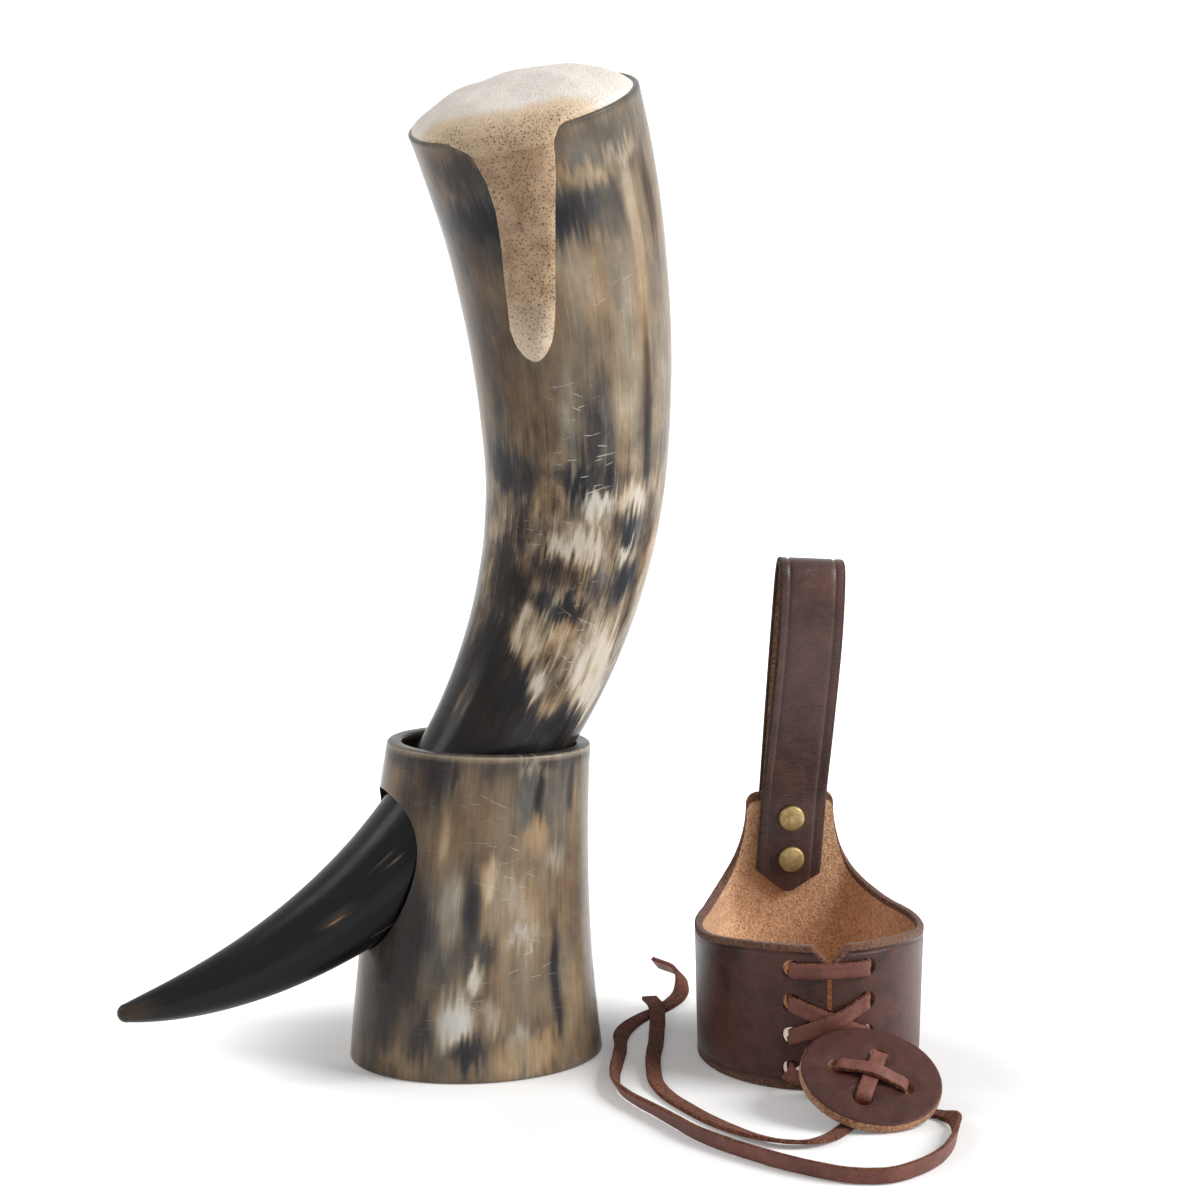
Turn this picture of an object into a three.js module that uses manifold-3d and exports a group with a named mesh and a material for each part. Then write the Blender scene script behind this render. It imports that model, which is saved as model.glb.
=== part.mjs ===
// A drinking horn in its horn stand, with the leather belt holster that goes with it.
// Millimetres, +Z up. The set stands on z = 0, and the horn bends in the XZ plane, tip towards -X.
import * as THREE from 'three';
import { mergeVertices } from 'three/addons/utils/BufferGeometryUtils.js';
import Module from 'manifold-3d';

const wasm = await Module();
wasm.setup();

const { degToRad, lerp, smoothstep } = THREE.MathUtils;
const UP = new THREE.Vector3(0, 0, 1);
const SIDE = new THREE.Vector3(1, 0, 0);

// Clearance between pieces that rest on each other or pass through each other, and over the table
const SEAT_GAP = 0.3;
const TABLE_GAP = 0.2;

// Horn, measured on its axis from the sharp end that the taper runs out to
const LOWER_BEND_RADIUS = 180;
const LOWER_BEND_ANGLE = degToRad(85.6);
const UPPER_BEND_RADIUS = 368;
const UPPER_BEND_ANGLE = degToRad(18.2);
const MOUTH_RADIUS = 38.8;
const TAPER_POWER = 0.638;
const TIP_RADIUS = 3.2;
const TIP_HEIGHT = 25.9;
const LIP_WALL = 2.4;
const DEEP_WALL = 6;
const CAVITY_DEPTH = 222;
const CAVITY_END = 30;
const LIP_LEVELLING = degToRad(4.5);
const LIP_REACH = 70;

// Stand, a slice of a larger horn, on its own axis
const STAND_HEIGHT = 108;
const STAND_WALL = 5;
const BASE_HALF_WIDTH = 43.4;
const BASE_HALF_DEPTH = 36.5;
const HORN_AT_RIM = 7.5;
const RIM_ROOM = 6;
const RIM_ROOM_SIDE = 2.6;
const RIM_DROP = degToRad(3);
const RIM_FRONT_RISE = degToRad(3);
const HOLE_ROOM_ABOVE = 3.2;
const HOLE_ROOM_SIDE = 1.8;
const HOLE_CUT_PAST_WALL = 24;
const HOLE_CUT_SHORT_OF_AXIS = 6;

// Holster, from the middle of its foot: an oval leather band with a tab at the back
const HOLSTER_X = 104.5;
const HOLSTER_Y = -40.5;
const HOLSTER_TURN = degToRad(-13.5);
const BAND_HALF_WIDTH = 38.4;
const BAND_HALF_DEPTH = 44;
const BAND_FOOT_DRAW = 1.2;
const LEATHER = 2.6;
const BAND_SIDE_HEIGHT = 45.5;
const BAND_FRONT_HEIGHT = 50;
const SLIT = 2;
const NOTCH_HALF_WIDTH = 6.2;
const NOTCH_DEPTH = 5.5;
const TAB_HEIGHT = 80;
const TAB_HALF_WIDTH = 15;
const TAB_CORNER = 4;
const FLARE_REACH = 21;
const FLAT_FROM = 12;
const FLAT_BELOW_STRAP = 3.5;
const FLAT_TO_X = 16.5;
const FLAT_FADE = 18;

// Belt loop, one strap folded over the tab, placed from the tab's top and the rivets
const STRAP_WIDTH = 22.5;
const STRAP_THICK = 2.4;
const STRAP_FRONT_BELOW_RIVET = 11.5;
const STRAP_BACK_BELOW_RIVET = 7;
const STRAP_POINT = 7.5;
const STRAP_LEAN = degToRad(4);
const LOOP_RISE = 81.5;
const LOOP_FRONT_BULGE = 9.6;
const LOOP_BACK_BULGE = 4.6;
const LOOP_FOLD_RADIUS = 4.4;

// Rivets through strap, tab and strap
const RIVET_BELOW_TAB_TOP = 8.5;
const RIVET_PITCH = 14.5;
const RIVET_CAP_RADIUS = 4.5;
const RIVET_CAP_HEIGHT = 2;
const RIVET_POST_RADIUS = 1.7;
const RIVET_SOCKET = 1;

// Lacing: a flat thong through four rows of holes beside the slit
const THONG_WIDTH = 5.4;
const THONG_THICK = 1.5;
const THONG_EDGE_EASE = 0.45;
const THONG_HOLE_ROOM = 0.5;
const LACE_HOLE_X = 12.8;
const LACE_TOP_MARGIN = 8.5;
const LACE_FOOT_MARGIN = 7;
const LACE_ROW_COUNT = 4;
const LACE_INSIDE_SLACK = 2.6;
const LINK_LEAD = 4;
const LINK_RISE = 2.2;
const LINK_SAG = 1.2;

// Lace button: a leather disc that leans on the lacing with its front edge on the table
const BUTTON_RADIUS = 23.6;
const BUTTON_THICK = 4;
const BUTTON_TILT = degToRad(26);
const BUTTON_X = -7.5;
const BUTTON_HOLE_CIRCLE = 11.5;
const BUTTON_HOLE_TURN = degToRad(10);
const BUTTON_EDGE_EASE = 0.8;
const BUTTON_THONG_BELOW = 2.2;
const BUTTON_THONG_DIP = 0.6;
const BUTTON_THONG_LEAVE = 1.6;
const TAIL_LEAD = 2.6;

// Facets round the larger and smaller pieces
const HORN_SIDES = 28;
const STAND_SIDES = 36;
const SMALL_SIDES = 16;
const HOLE_SIDES = 12;

// Sampling along the longer pieces
const HORN_STEPS = 26;
const CAVITY_STEPS = 11;
const STAND_STEPS = 6;
const SLEEVE_STEPS = 8;
const CORNER_STEPS = 4;
const FLARE_STEPS = 9;
const BAND_ROUND_STEPS = 9;
const BAND_RISE_STEPS = 7;
const STRAP_STEPS = 64;
const LACING_STEPS = 130;
const BUTTON_THONG_STEPS = 36;
const LONG_TAIL_STEPS = 46;
const SHORT_TAIL_STEPS = 30;

const at = (x, y, z) => new THREE.Vector3(x, y, z);

// Joins rings of equal length into one closed surface; the ends close on a point, or the rings loop
function loft(rings, ends = null) {
  const sides = rings[0].length;
  const points = rings.flat();
  const triangles = [];
  const spans = ends ? rings.length - 1 : rings.length;
  for (let ring = 0; ring < spans; ring += 1) {
    const here = ring * sides;
    const there = ((ring + 1) % rings.length) * sides;
    for (let side = 0; side < sides; side += 1) {
      const next = (side + 1) % sides;
      triangles.push(here + side, here + next, there + next, here + side, there + next, there + side);
    }
  }
  if (ends) {
    const last = (rings.length - 1) * sides;
    points.push(ends[0], ends[1]);
    for (let side = 0; side < sides; side += 1) {
      const next = (side + 1) % sides;
      triangles.push(points.length - 2, next, side);
      triangles.push(points.length - 1, last + side, last + next);
    }
  }
  const geometry = new THREE.BufferGeometry().setFromPoints(points);
  geometry.setIndex(triangles);
  return geometry;
}

const middle = (ring) => ring.reduce((sum, point) => sum.add(point), at(0, 0, 0)).divideScalar(ring.length);

function toSolid(geometry) {
  const bare = geometry.clone();
  bare.deleteAttribute('normal');
  bare.deleteAttribute('uv');
  const merged = mergeVertices(bare);
  return new wasm.Manifold(new wasm.Mesh({
    numProp: 3,
    vertProperties: merged.attributes.position.array,
    triVerts: new Uint32Array(merged.index.array),
  }));
}

function cut(geometry, tools) {
  const solid = tools.reduce((left, tool) => left.subtract(toSolid(tool)), toSolid(geometry));
  const mesh = solid.getMesh();
  const result = new THREE.BufferGeometry();
  result.setAttribute('position', new THREE.BufferAttribute(mesh.vertProperties, mesh.numProp));
  result.setIndex(new THREE.BufferAttribute(mesh.triVerts, 1));
  return result;
}

// A straight round cutter through a point, along a direction
function drill(radius, length, centre, along) {
  const turn = new THREE.Quaternion().setFromUnitVectors(at(0, 1, 0), along);
  const tool = new THREE.CylinderGeometry(radius, radius, length, HOLE_SIDES);
  return tool.applyQuaternion(turn).translate(centre.x, centre.y, centre.z);
}

const materials = {
  horn: { color: 0x5a4a38, roughness: 0.32, metalness: 0 },
  stand: { color: 0x66543c, roughness: 0.38, metalness: 0 },
  leather: { color: 0x3a211b, roughness: 0.55, metalness: 0 },
  thong: { color: 0x5a2f22, roughness: 0.7, metalness: 0 },
  brass: { color: 0x8a6f3c, roughness: 0.4, metalness: 1 },
};

function mesh(name, geometry, material) {
  geometry.computeVertexNormals();
  const made = new THREE.Mesh(geometry, new THREE.MeshStandardMaterial(materials[material]));
  made.name = name;
  return made;
}

// Horn axis: an arc from the tip to where the horn stands upright, then a wider arc to the mouth

const LOWER_LENGTH = LOWER_BEND_RADIUS * LOWER_BEND_ANGLE;
const HORN_LENGTH = LOWER_LENGTH + UPPER_BEND_RADIUS * UPPER_BEND_ANGLE;
const BEND_CENTRE_Z = TIP_HEIGHT + LOWER_BEND_RADIUS * Math.sin(LOWER_BEND_ANGLE);
const BEND_CENTRE_X = HORN_AT_RIM - Math.sqrt(LOWER_BEND_RADIUS ** 2 - (BEND_CENTRE_Z - STAND_HEIGHT) ** 2);

// The angle of the bend's outward direction above the horizontal, at a length from the tip
const bendAngle = (length) => (length < LOWER_LENGTH
  ? length / LOWER_BEND_RADIUS - LOWER_BEND_ANGLE
  : (length - LOWER_LENGTH) / UPPER_BEND_RADIUS);

const outwardAt = (angle) => at(Math.cos(angle), 0, Math.sin(angle));

function hornAxis(length) {
  const radius = length < LOWER_LENGTH ? LOWER_BEND_RADIUS : UPPER_BEND_RADIUS;
  const centre = at(BEND_CENTRE_X + LOWER_BEND_RADIUS - radius, 0, BEND_CENTRE_Z);
  return centre.addScaledVector(outwardAt(bendAngle(length)), radius);
}

const hornRadius = (length) => MOUTH_RADIUS * (length / HORN_LENGTH) ** TAPER_POWER;
const lengthWhereRadius = (radius) => HORN_LENGTH * (radius / MOUTH_RADIUS) ** (1 / TAPER_POWER);

// The length from the tip at which the axis of the lower bend reaches an x
const lengthWhereX = (x) => LOWER_BEND_RADIUS
  * (LOWER_BEND_ANGLE - Math.acos((x - BEND_CENTRE_X) / LOWER_BEND_RADIUS));

// A ring round the horn's axis: oval by its two half-widths, moved outwards by a shift
function hornRing(length, across, deep, shift = 0) {
  const levelled = LIP_LEVELLING * smoothstep(length, HORN_LENGTH - LIP_REACH, HORN_LENGTH);
  const outward = outwardAt(bendAngle(length) - levelled);
  const centre = hornAxis(length).addScaledVector(outward, shift);
  return Array.from({ length: HORN_SIDES }, (_, side) => {
    const turn = (2 * Math.PI * side) / HORN_SIDES;
    const point = centre.clone().addScaledVector(outward, across * Math.cos(turn));
    point.y += deep * Math.sin(turn);
    return point;
  });
}

const steps = (count, from, to) => Array.from({ length: count + 1 }, (_, i) => lerp(from, to, i / count));

function hornCup() {
  const blunt = lengthWhereRadius(TIP_RADIUS);
  const tipCap = [0.3, 0.6, 0.85].map((share) => {
    const radius = TIP_RADIUS * Math.sin((share * Math.PI) / 2);
    return hornRing(blunt - TIP_RADIUS * Math.cos((share * Math.PI) / 2), radius, radius);
  });
  const outside = steps(HORN_STEPS, blunt, HORN_LENGTH).map((length) => {
    const radius = hornRadius(length);
    return hornRing(length, radius, radius);
  });
  const bottom = HORN_LENGTH - CAVITY_DEPTH;
  const cavityRadius = (length) => {
    const wall = lerp(LIP_WALL, DEEP_WALL, (HORN_LENGTH - length) / CAVITY_DEPTH);
    const rounding = Math.min(1, (length - bottom) / CAVITY_END);
    return (hornRadius(length) - wall) * Math.sqrt(1 - (1 - rounding) ** 2);
  };
  const straight = steps(CAVITY_STEPS, HORN_LENGTH, bottom + CAVITY_END);
  const rounded = [0.55, 0.2, 0.05].map((share) => bottom + CAVITY_END * share);
  const inside = [...straight, ...rounded].map((length) => {
    const radius = cavityRadius(length);
    return hornRing(length, radius, radius);
  });
  return loft([...tipCap, ...outside, ...inside], [hornAxis(blunt - TIP_RADIUS), hornAxis(bottom)]);
}

// Stand: its rim takes the horn's slanted section, and its hole lets the tip out

// Where the horn's outer or inner side in the plane of the bend crosses a height (side is 1 or -1)
function hornSideAtHeight(height, side) {
  let low = 0;
  let high = LOWER_LENGTH;
  for (let round = 0; round < 40; round += 1) {
    const length = (low + high) / 2;
    const reach = LOWER_BEND_RADIUS + side * hornRadius(length);
    if (BEND_CENTRE_Z + reach * Math.sin(bendAngle(length)) < height) low = length;
    else high = length;
  }
  return BEND_CENTRE_X + (LOWER_BEND_RADIUS + side * hornRadius(low)) * Math.cos(bendAngle(low));
}

const hornRight = hornSideAtHeight(STAND_HEIGHT, 1);
const rimRightHeight = STAND_HEIGHT - (hornRight - HORN_AT_RIM) * Math.tan(RIM_DROP);
const rimRight = hornSideAtHeight(rimRightHeight, 1) + SEAT_GAP;
const rimLeft = hornSideAtHeight(STAND_HEIGHT, -1) - RIM_ROOM;
const rimCentre = (rimRight + rimLeft) / 2;
const rimHalfWidth = (rimRight - rimLeft) / 2 + STAND_WALL;
const rimHalfDepth = hornRadius(lengthWhereX(HORN_AT_RIM)) + RIM_ROOM_SIDE + STAND_WALL;

function standRing(share, inset) {
  const halfWidth = lerp(BASE_HALF_WIDTH, rimHalfWidth, share) - inset;
  const halfDepth = lerp(BASE_HALF_DEPTH, rimHalfDepth, share) - inset;
  return Array.from({ length: STAND_SIDES }, (_, side) => {
    const turn = (2 * Math.PI * side) / STAND_SIDES;
    const x = halfWidth * Math.cos(turn);
    const y = halfDepth * Math.sin(turn);
    const rim = STAND_HEIGHT - x * Math.tan(RIM_DROP) - y * Math.tan(RIM_FRONT_RISE);
    return at(rimCentre * share ** 2 + x, y, share * rim);
  });
}

function hornStand() {
  const levels = steps(STAND_STEPS, 0, 1);
  const outside = levels.map((share) => standRing(share, 0));
  const inside = levels.toReversed().map((share) => standRing(share, STAND_WALL));
  const from = lengthWhereX(-BASE_HALF_WIDTH - HOLE_CUT_PAST_WALL);
  const to = lengthWhereX(-HOLE_CUT_SHORT_OF_AXIS);
  const sleeve = steps(SLEEVE_STEPS, from, to).map((length) => {
    const radius = hornRadius(length);
    const across = radius + (HOLE_ROOM_ABOVE + SEAT_GAP) / 2;
    return hornRing(length, across, radius + HOLE_ROOM_SIDE, (SEAT_GAP - HOLE_ROOM_ABOVE) / 2);
  });
  const hole = loft(sleeve, [middle(sleeve[0]), middle(sleeve.at(-1))]);
  return cut(loft([...outside, ...inside]), [hole]);
}

// Holster band: a leather sheet round an oval, flattened at the back where the tab rises

const upperRivet = TAB_HEIGHT - RIVET_BELOW_TAB_TOP;
const lowerRivet = upperRivet - RIVET_PITCH;
const strapFrontEnd = lowerRivet - STRAP_FRONT_BELOW_RIVET;
const strapBackEnd = lowerRivet - STRAP_BACK_BELOW_RIVET;
const flatAbove = strapFrontEnd - FLAT_BELOW_STRAP;
const laceRows = steps(LACE_ROW_COUNT - 1, BAND_FRONT_HEIGHT - LACE_TOP_MARGIN, LACE_FOOT_MARGIN);
const thongHoleRadius = Math.hypot(THONG_WIDTH / 2, THONG_THICK / 2) + THONG_HOLE_ROOM;

// The height of the sheet's top edge at a turn from the back (0) to the slit (half a turn)
function bandTop(turn) {
  const x = BAND_HALF_WIDTH * Math.abs(Math.sin(turn));
  if (Math.cos(turn) > 0) {
    const cornerStart = TAB_HALF_WIDTH - TAB_CORNER;
    if (x <= cornerStart) return TAB_HEIGHT;
    const tabSide = TAB_HEIGHT - TAB_CORNER;
    const intoCorner = Math.min(x - cornerStart, TAB_CORNER);
    if (x <= TAB_HALF_WIDTH) return tabSide + Math.sqrt(TAB_CORNER ** 2 - intoCorner ** 2);
    const share = Math.max(0, 1 - (x - TAB_HALF_WIDTH) / FLARE_REACH);
    return tabSide - (tabSide - BAND_SIDE_HEIGHT) * Math.sqrt(1 - share ** 2);
  }
  const front = lerp(BAND_SIDE_HEIGHT, BAND_FRONT_HEIGHT, smoothstep(-Math.cos(turn), 0, 1));
  return front - NOTCH_DEPTH * Math.max(0, 1 - (x - SLIT / 2) / (NOTCH_HALF_WIDTH - SLIT / 2));
}

const tabFlatness = (x, height) => smoothstep(height, FLAT_FROM, flatAbove)
  * (1 - smoothstep(x, FLAT_TO_X, FLAT_TO_X + FLAT_FADE));

// A point on the sheet's outer face, and how the face looks outwards there
function bandFace(turn, height) {
  const halfWidth = BAND_HALF_WIDTH - BAND_FOOT_DRAW * Math.max(0, 1 - height / BAND_SIDE_HEIGHT);
  const place = (angle) => {
    const x = halfWidth * Math.sin(angle);
    const back = Math.cos(angle) > 0 ? tabFlatness(Math.abs(x), height) : 0;
    return at(x, BAND_HALF_DEPTH * lerp(Math.cos(angle), 1, back), height);
  };
  const nudge = 0.001;
  const along = place(turn + nudge).sub(place(turn - nudge)).normalize();
  return { point: place(turn), outward: at(-along.y, along.x, 0) };
}

function bandPoint(turn, height, proud) {
  const { point, outward } = bandFace(turn, height);
  return point.addScaledVector(outward, proud);
}

// Turns from the middle of the back to the slit, closer where the top edge bends
function bandTurns() {
  const fromBack = (x) => Math.asin(x / BAND_HALF_WIDTH);
  const fromFront = (x) => Math.PI - fromBack(x);
  const cornerStart = TAB_HALF_WIDTH - TAB_CORNER;
  const quarter = (count) => steps(count, 0, Math.PI / 2).slice(1);
  const corner = quarter(CORNER_STEPS).map((angle) => cornerStart + TAB_CORNER * Math.sin(angle));
  const flare = quarter(FLARE_STEPS).map((angle) => TAB_HALF_WIDTH + FLARE_REACH * (1 - Math.cos(angle)));
  const back = [cornerStart / 2, cornerStart, ...corner, ...flare].map(fromBack);
  const round = steps(BAND_ROUND_STEPS, back.at(-1), fromFront(NOTCH_HALF_WIDTH)).slice(1);
  const half = [...back, ...round, fromFront(SLIT / 2)];
  return [...half.map((turn) => -turn).toReversed(), 0, ...half];
}

// The turn that lies at an x on the front of the band
const frontTurn = (x) => Math.PI - Math.asin(x / BAND_HALF_WIDTH);

// Tab and strap layers, front to back, by their middle planes in y
const TAB_MIDDLE = BAND_HALF_DEPTH - LEATHER / 2;
const STRAP_OFFSET = LEATHER / 2 + SEAT_GAP + STRAP_THICK / 2;
const STACK_HALF = STRAP_OFFSET + STRAP_THICK / 2 + SEAT_GAP;

const rivetDrills = (radius) => [lowerRivet, upperRivet].map((height) => drill(
  radius,
  4 * STACK_HALF,
  at(0, TAB_MIDDLE, height),
  at(0, 1, 0),
));

const POST_HOLE_RADIUS = RIVET_POST_RADIUS + SEAT_GAP;

function holsterBand() {
  const rings = bandTurns().map((turn) => {
    const heights = steps(BAND_RISE_STEPS, 0, bandTop(turn));
    const outer = heights.map((height) => bandPoint(turn, height, 0));
    const inner = heights.toReversed().map((height) => bandPoint(turn, height, -LEATHER));
    return [...outer, ...inner];
  });
  const sheet = loft(rings, [middle(rings[0]), middle(rings.at(-1))]);
  const laceHoles = laceRows.flatMap((height) => [-1, 1].map((side) => {
    const { point, outward } = bandFace(frontTurn(side * LACE_HOLE_X), height);
    return drill(thongHoleRadius, 4 * LEATHER, point, outward);
  }));
  return cut(sheet, [...laceHoles, ...rivetDrills(POST_HOLE_RADIUS)]);
}

// Belt loop: the strap's side outline, drawn to its width, pointed at the front end

// A flat outline of even thickness along a curve in the plane
function bandOutline(curve, thickness, count) {
  const offset = (side) => steps(count, 0, 1).map((share) => {
    const point = curve.getPointAt(share);
    const along = curve.getTangentAt(share);
    return new THREE.Vector2(point.x - side * along.y, point.y + side * along.x);
  });
  return new THREE.Shape([...offset(-thickness / 2), ...offset(thickness / 2).toReversed()]);
}

function beltLoop() {
  const reach = LOOP_RISE - STRAP_THICK / 2;
  const foldTop = TAB_HEIGHT + reach;
  const foldY = (LOOP_BACK_BULGE - LOOP_FRONT_BULGE + LOOP_FOLD_RADIUS) / 2;
  const opening = TAB_HEIGHT + 0.3 * reach;
  const widest = TAB_HEIGHT + 0.68 * reach;
  const line = [
    [-STRAP_OFFSET, strapFrontEnd],
    [-STRAP_OFFSET, (strapFrontEnd + TAB_HEIGHT) / 2],
    [-STRAP_OFFSET, TAB_HEIGHT],
    [-lerp(STRAP_OFFSET, LOOP_FRONT_BULGE, 0.55), opening],
    [-LOOP_FRONT_BULGE, widest],
    [foldY - 1.35 * LOOP_FOLD_RADIUS, foldTop - LOOP_FOLD_RADIUS],
    [foldY, foldTop],
    [foldY + LOOP_FOLD_RADIUS, foldTop - LOOP_FOLD_RADIUS],
    [LOOP_BACK_BULGE, widest],
    [lerp(STRAP_OFFSET, LOOP_BACK_BULGE, 0.6), opening],
    [STRAP_OFFSET, TAB_HEIGHT],
    [STRAP_OFFSET, strapBackEnd],
  ];
  const curve = new THREE.SplineCurve(line.map(([y, z]) => new THREE.Vector2(y, z)));
  const outline = bandOutline(curve, STRAP_THICK, STRAP_STEPS);
  const strap = new THREE.ExtrudeGeometry(outline, { depth: STRAP_WIDTH, bevelEnabled: false });
  strap.translate(0, 0, -STRAP_WIDTH / 2);
  strap.applyMatrix4(new THREE.Matrix4().makeBasis(at(0, 1, 0), UP, SIDE));
  const corner = new THREE.Shape([
    new THREE.Vector2(0, -1),
    new THREE.Vector2(STRAP_WIDTH, -1),
    new THREE.Vector2(STRAP_WIDTH, 2 * STRAP_POINT),
  ]);
  const trims = [-1, 1].map((side) => {
    const trim = new THREE.ExtrudeGeometry(corner, { depth: 2 * STRAP_THICK, bevelEnabled: false });
    trim.translate(0, 0, -STRAP_THICK);
    const lay = new THREE.Matrix4().makeBasis(at(side, 0, 0), UP, at(0, -side, 0));
    return trim.applyMatrix4(lay).translate(0, -STRAP_OFFSET, strapFrontEnd);
  });
  const pointed = cut(strap, trims);
  const pivot = (lowerRivet + upperRivet) / 2;
  pointed.translate(0, 0, -pivot).rotateY(STRAP_LEAN).translate(0, TAB_MIDDLE, pivot);
  return cut(pointed, rivetDrills(POST_HOLE_RADIUS));
}

// Rivets: a domed cap with its post at the front, and a cap pressed on at the back

const dome = (radius, height, sign) => steps(4, 0, 90).map((angle) => new THREE.Vector2(
  radius * Math.sin(degToRad(angle)),
  sign * height * Math.cos(degToRad(angle)),
));

function rivetFront() {
  const face = -STACK_HALF;
  const cap = dome(RIVET_CAP_RADIUS, RIVET_CAP_HEIGHT, -1).map((point) => point.setY(point.y + face));
  const end = STACK_HALF + RIVET_SOCKET - SEAT_GAP;
  const profile = [
    ...cap,
    new THREE.Vector2(RIVET_POST_RADIUS, face),
    new THREE.Vector2(RIVET_POST_RADIUS, end),
    new THREE.Vector2(0, end),
  ];
  return new THREE.LatheGeometry(profile, SMALL_SIDES);
}

function rivetBack() {
  const cap = dome(RIVET_CAP_RADIUS, RIVET_CAP_HEIGHT, 1).map((point) => point.setY(point.y + STACK_HALF));
  const profile = [
    new THREE.Vector2(0, STACK_HALF + RIVET_SOCKET),
    new THREE.Vector2(POST_HOLE_RADIUS, STACK_HALF + RIVET_SOCKET),
    new THREE.Vector2(POST_HOLE_RADIUS, STACK_HALF),
    ...cap.toReversed(),
  ];
  return new THREE.LatheGeometry(profile, SMALL_SIDES);
}

// Thongs: a flat section with eased edges, drawn along a route that says how its width lies

class ThongRoute extends THREE.Curve {
  constructor(stations) {
    super();
    this.line = new THREE.CatmullRomCurve3(stations.map((station) => station.place));
    this.width = new THREE.CatmullRomCurve3(stations.map((station) => station.width));
  }

  getPoint(share, target) {
    return this.line.getPoint(share, target);
  }

  computeFrenetFrames(count) {
    const frames = { tangents: [], normals: [], binormals: [] };
    steps(count, 0, 1).forEach((share) => {
      const spot = this.getUtoTmapping(share);
      const tangent = this.line.getTangent(spot);
      const normal = this.width.getPoint(spot).projectOnPlane(tangent).normalize();
      frames.tangents.push(tangent);
      frames.normals.push(normal);
      frames.binormals.push(tangent.clone().cross(normal));
    });
    return frames;
  }
}

function thong(stations, count) {
  const edge = THONG_EDGE_EASE;
  const x = THONG_WIDTH / 2;
  const y = THONG_THICK / 2;
  const section = new THREE.Shape([
    new THREE.Vector2(x, -y + edge),
    new THREE.Vector2(x, y - edge),
    new THREE.Vector2(x - edge, y),
    new THREE.Vector2(-x + edge, y),
    new THREE.Vector2(-x, y - edge),
    new THREE.Vector2(-x, -y + edge),
    new THREE.Vector2(-x + edge, -y),
    new THREE.Vector2(x - edge, -y),
  ]);
  return new THREE.ExtrudeGeometry(section, { steps: count, extrudePath: new ThongRoute(stations) });
}

// How far a thong's middle stands from a face that it lies on
const ON_FACE = SEAT_GAP + THONG_THICK / 2;

// Lacing: out of the bottom holes at both ends, up each side and across at the top

function lacingStation(x, height, proud, width) {
  return { place: bandPoint(frontTurn(x), height, proud), width };
}

// Stations through a lace hole, from outside to inside, the width turning from upright to level
function laceHole(side, row) {
  const x = side * LACE_HOLE_X;
  const height = laceRows[row];
  return [
    lacingStation(x, height, ON_FACE * 0.4, UP),
    lacingStation(x, height, -LEATHER / 2, UP),
    lacingStation(x, height, -LEATHER - ON_FACE, at(0.7, 0, 0.7)),
  ];
}

// The slack turn inside, from one row's hole to the next one below
function insideTurn(side, row) {
  const x = side * LACE_HOLE_X;
  const upper = laceRows[row];
  const lower = laceRows[row + 1];
  const inside = -LEATHER - ON_FACE - LACE_INSIDE_SLACK;
  return [
    lacingStation(x, lerp(upper, lower, 0.25), inside, SIDE),
    lacingStation(x, lerp(upper, lower, 0.75), inside, SIDE),
  ];
}

// A run outside from one hole to another, with its middle lifted over what it crosses
function outsideRun(fromSide, fromRow, toRow, lift) {
  const from = fromSide * (LACE_HOLE_X - thongHoleRadius - SEAT_GAP);
  return [0, 0.3, 0.5, 0.7, 1].map((share) => {
    const height = lerp(laceRows[fromRow], laceRows[toRow], lerp(0.14, 0.86, share));
    const rise = lift * (1 - (2 * share - 1) ** 2);
    return lacingStation(lerp(from, -from, share), height, ON_FACE + rise, UP);
  });
}

// Button: its own frame has the disc's middle at the origin and its face along +Z. It lies square to
// the set, so it stands at an angle to the holster's front.

const buttonHeight = (BUTTON_RADIUS - BUTTON_EDGE_EASE) * Math.sin(BUTTON_TILT)
  + (BUTTON_THICK / 2) * Math.cos(BUTTON_TILT);
const LACING_PROUD = 2 * (SEAT_GAP + THONG_THICK);
const buttonY = -BAND_HALF_DEPTH - LACING_PROUD - 2 * SEAT_GAP
  - BUTTON_RADIUS * Math.cos(BUTTON_TILT) - (BUTTON_THICK / 2) * Math.sin(BUTTON_TILT);

const buttonFrame = new THREE.Matrix4()
  .makeRotationX(BUTTON_TILT)
  .setPosition(BUTTON_X, buttonY, buttonHeight);

// Holes at the four corners of a square, counted round from the right of the back
function buttonHole(index) {
  const turn = BUTTON_HOLE_TURN + degToRad(45 + 90 * index);
  return at(BUTTON_HOLE_CIRCLE * Math.cos(turn), BUTTON_HOLE_CIRCLE * Math.sin(turn), 0);
}

const BACK_RIGHT = 0;
const BACK_LEFT = 1;
const FRONT_LEFT = 2;
const FRONT_RIGHT = 3;

function laceButton() {
  const half = BUTTON_THICK / 2;
  const profile = [
    new THREE.Vector2(0, -half),
    new THREE.Vector2(BUTTON_RADIUS - BUTTON_EDGE_EASE, -half),
    new THREE.Vector2(BUTTON_RADIUS, -half + BUTTON_EDGE_EASE),
    new THREE.Vector2(BUTTON_RADIUS, half - BUTTON_EDGE_EASE),
    new THREE.Vector2(BUTTON_RADIUS - BUTTON_EDGE_EASE, half),
    new THREE.Vector2(0, half),
  ];
  const disc = new THREE.LatheGeometry(profile, 2 * SMALL_SIDES).rotateX(Math.PI / 2);
  const holes = [0, 1, 2, 3].map((index) => drill(thongHoleRadius, 4 * BUTTON_THICK, buttonHole(index), UP));
  return cut(disc, holes);
}

// Where a thong leaves the underside of the disc
const underHole = (index, below) => buttonHole(index).setZ(-BUTTON_THICK / 2 - below);

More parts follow.
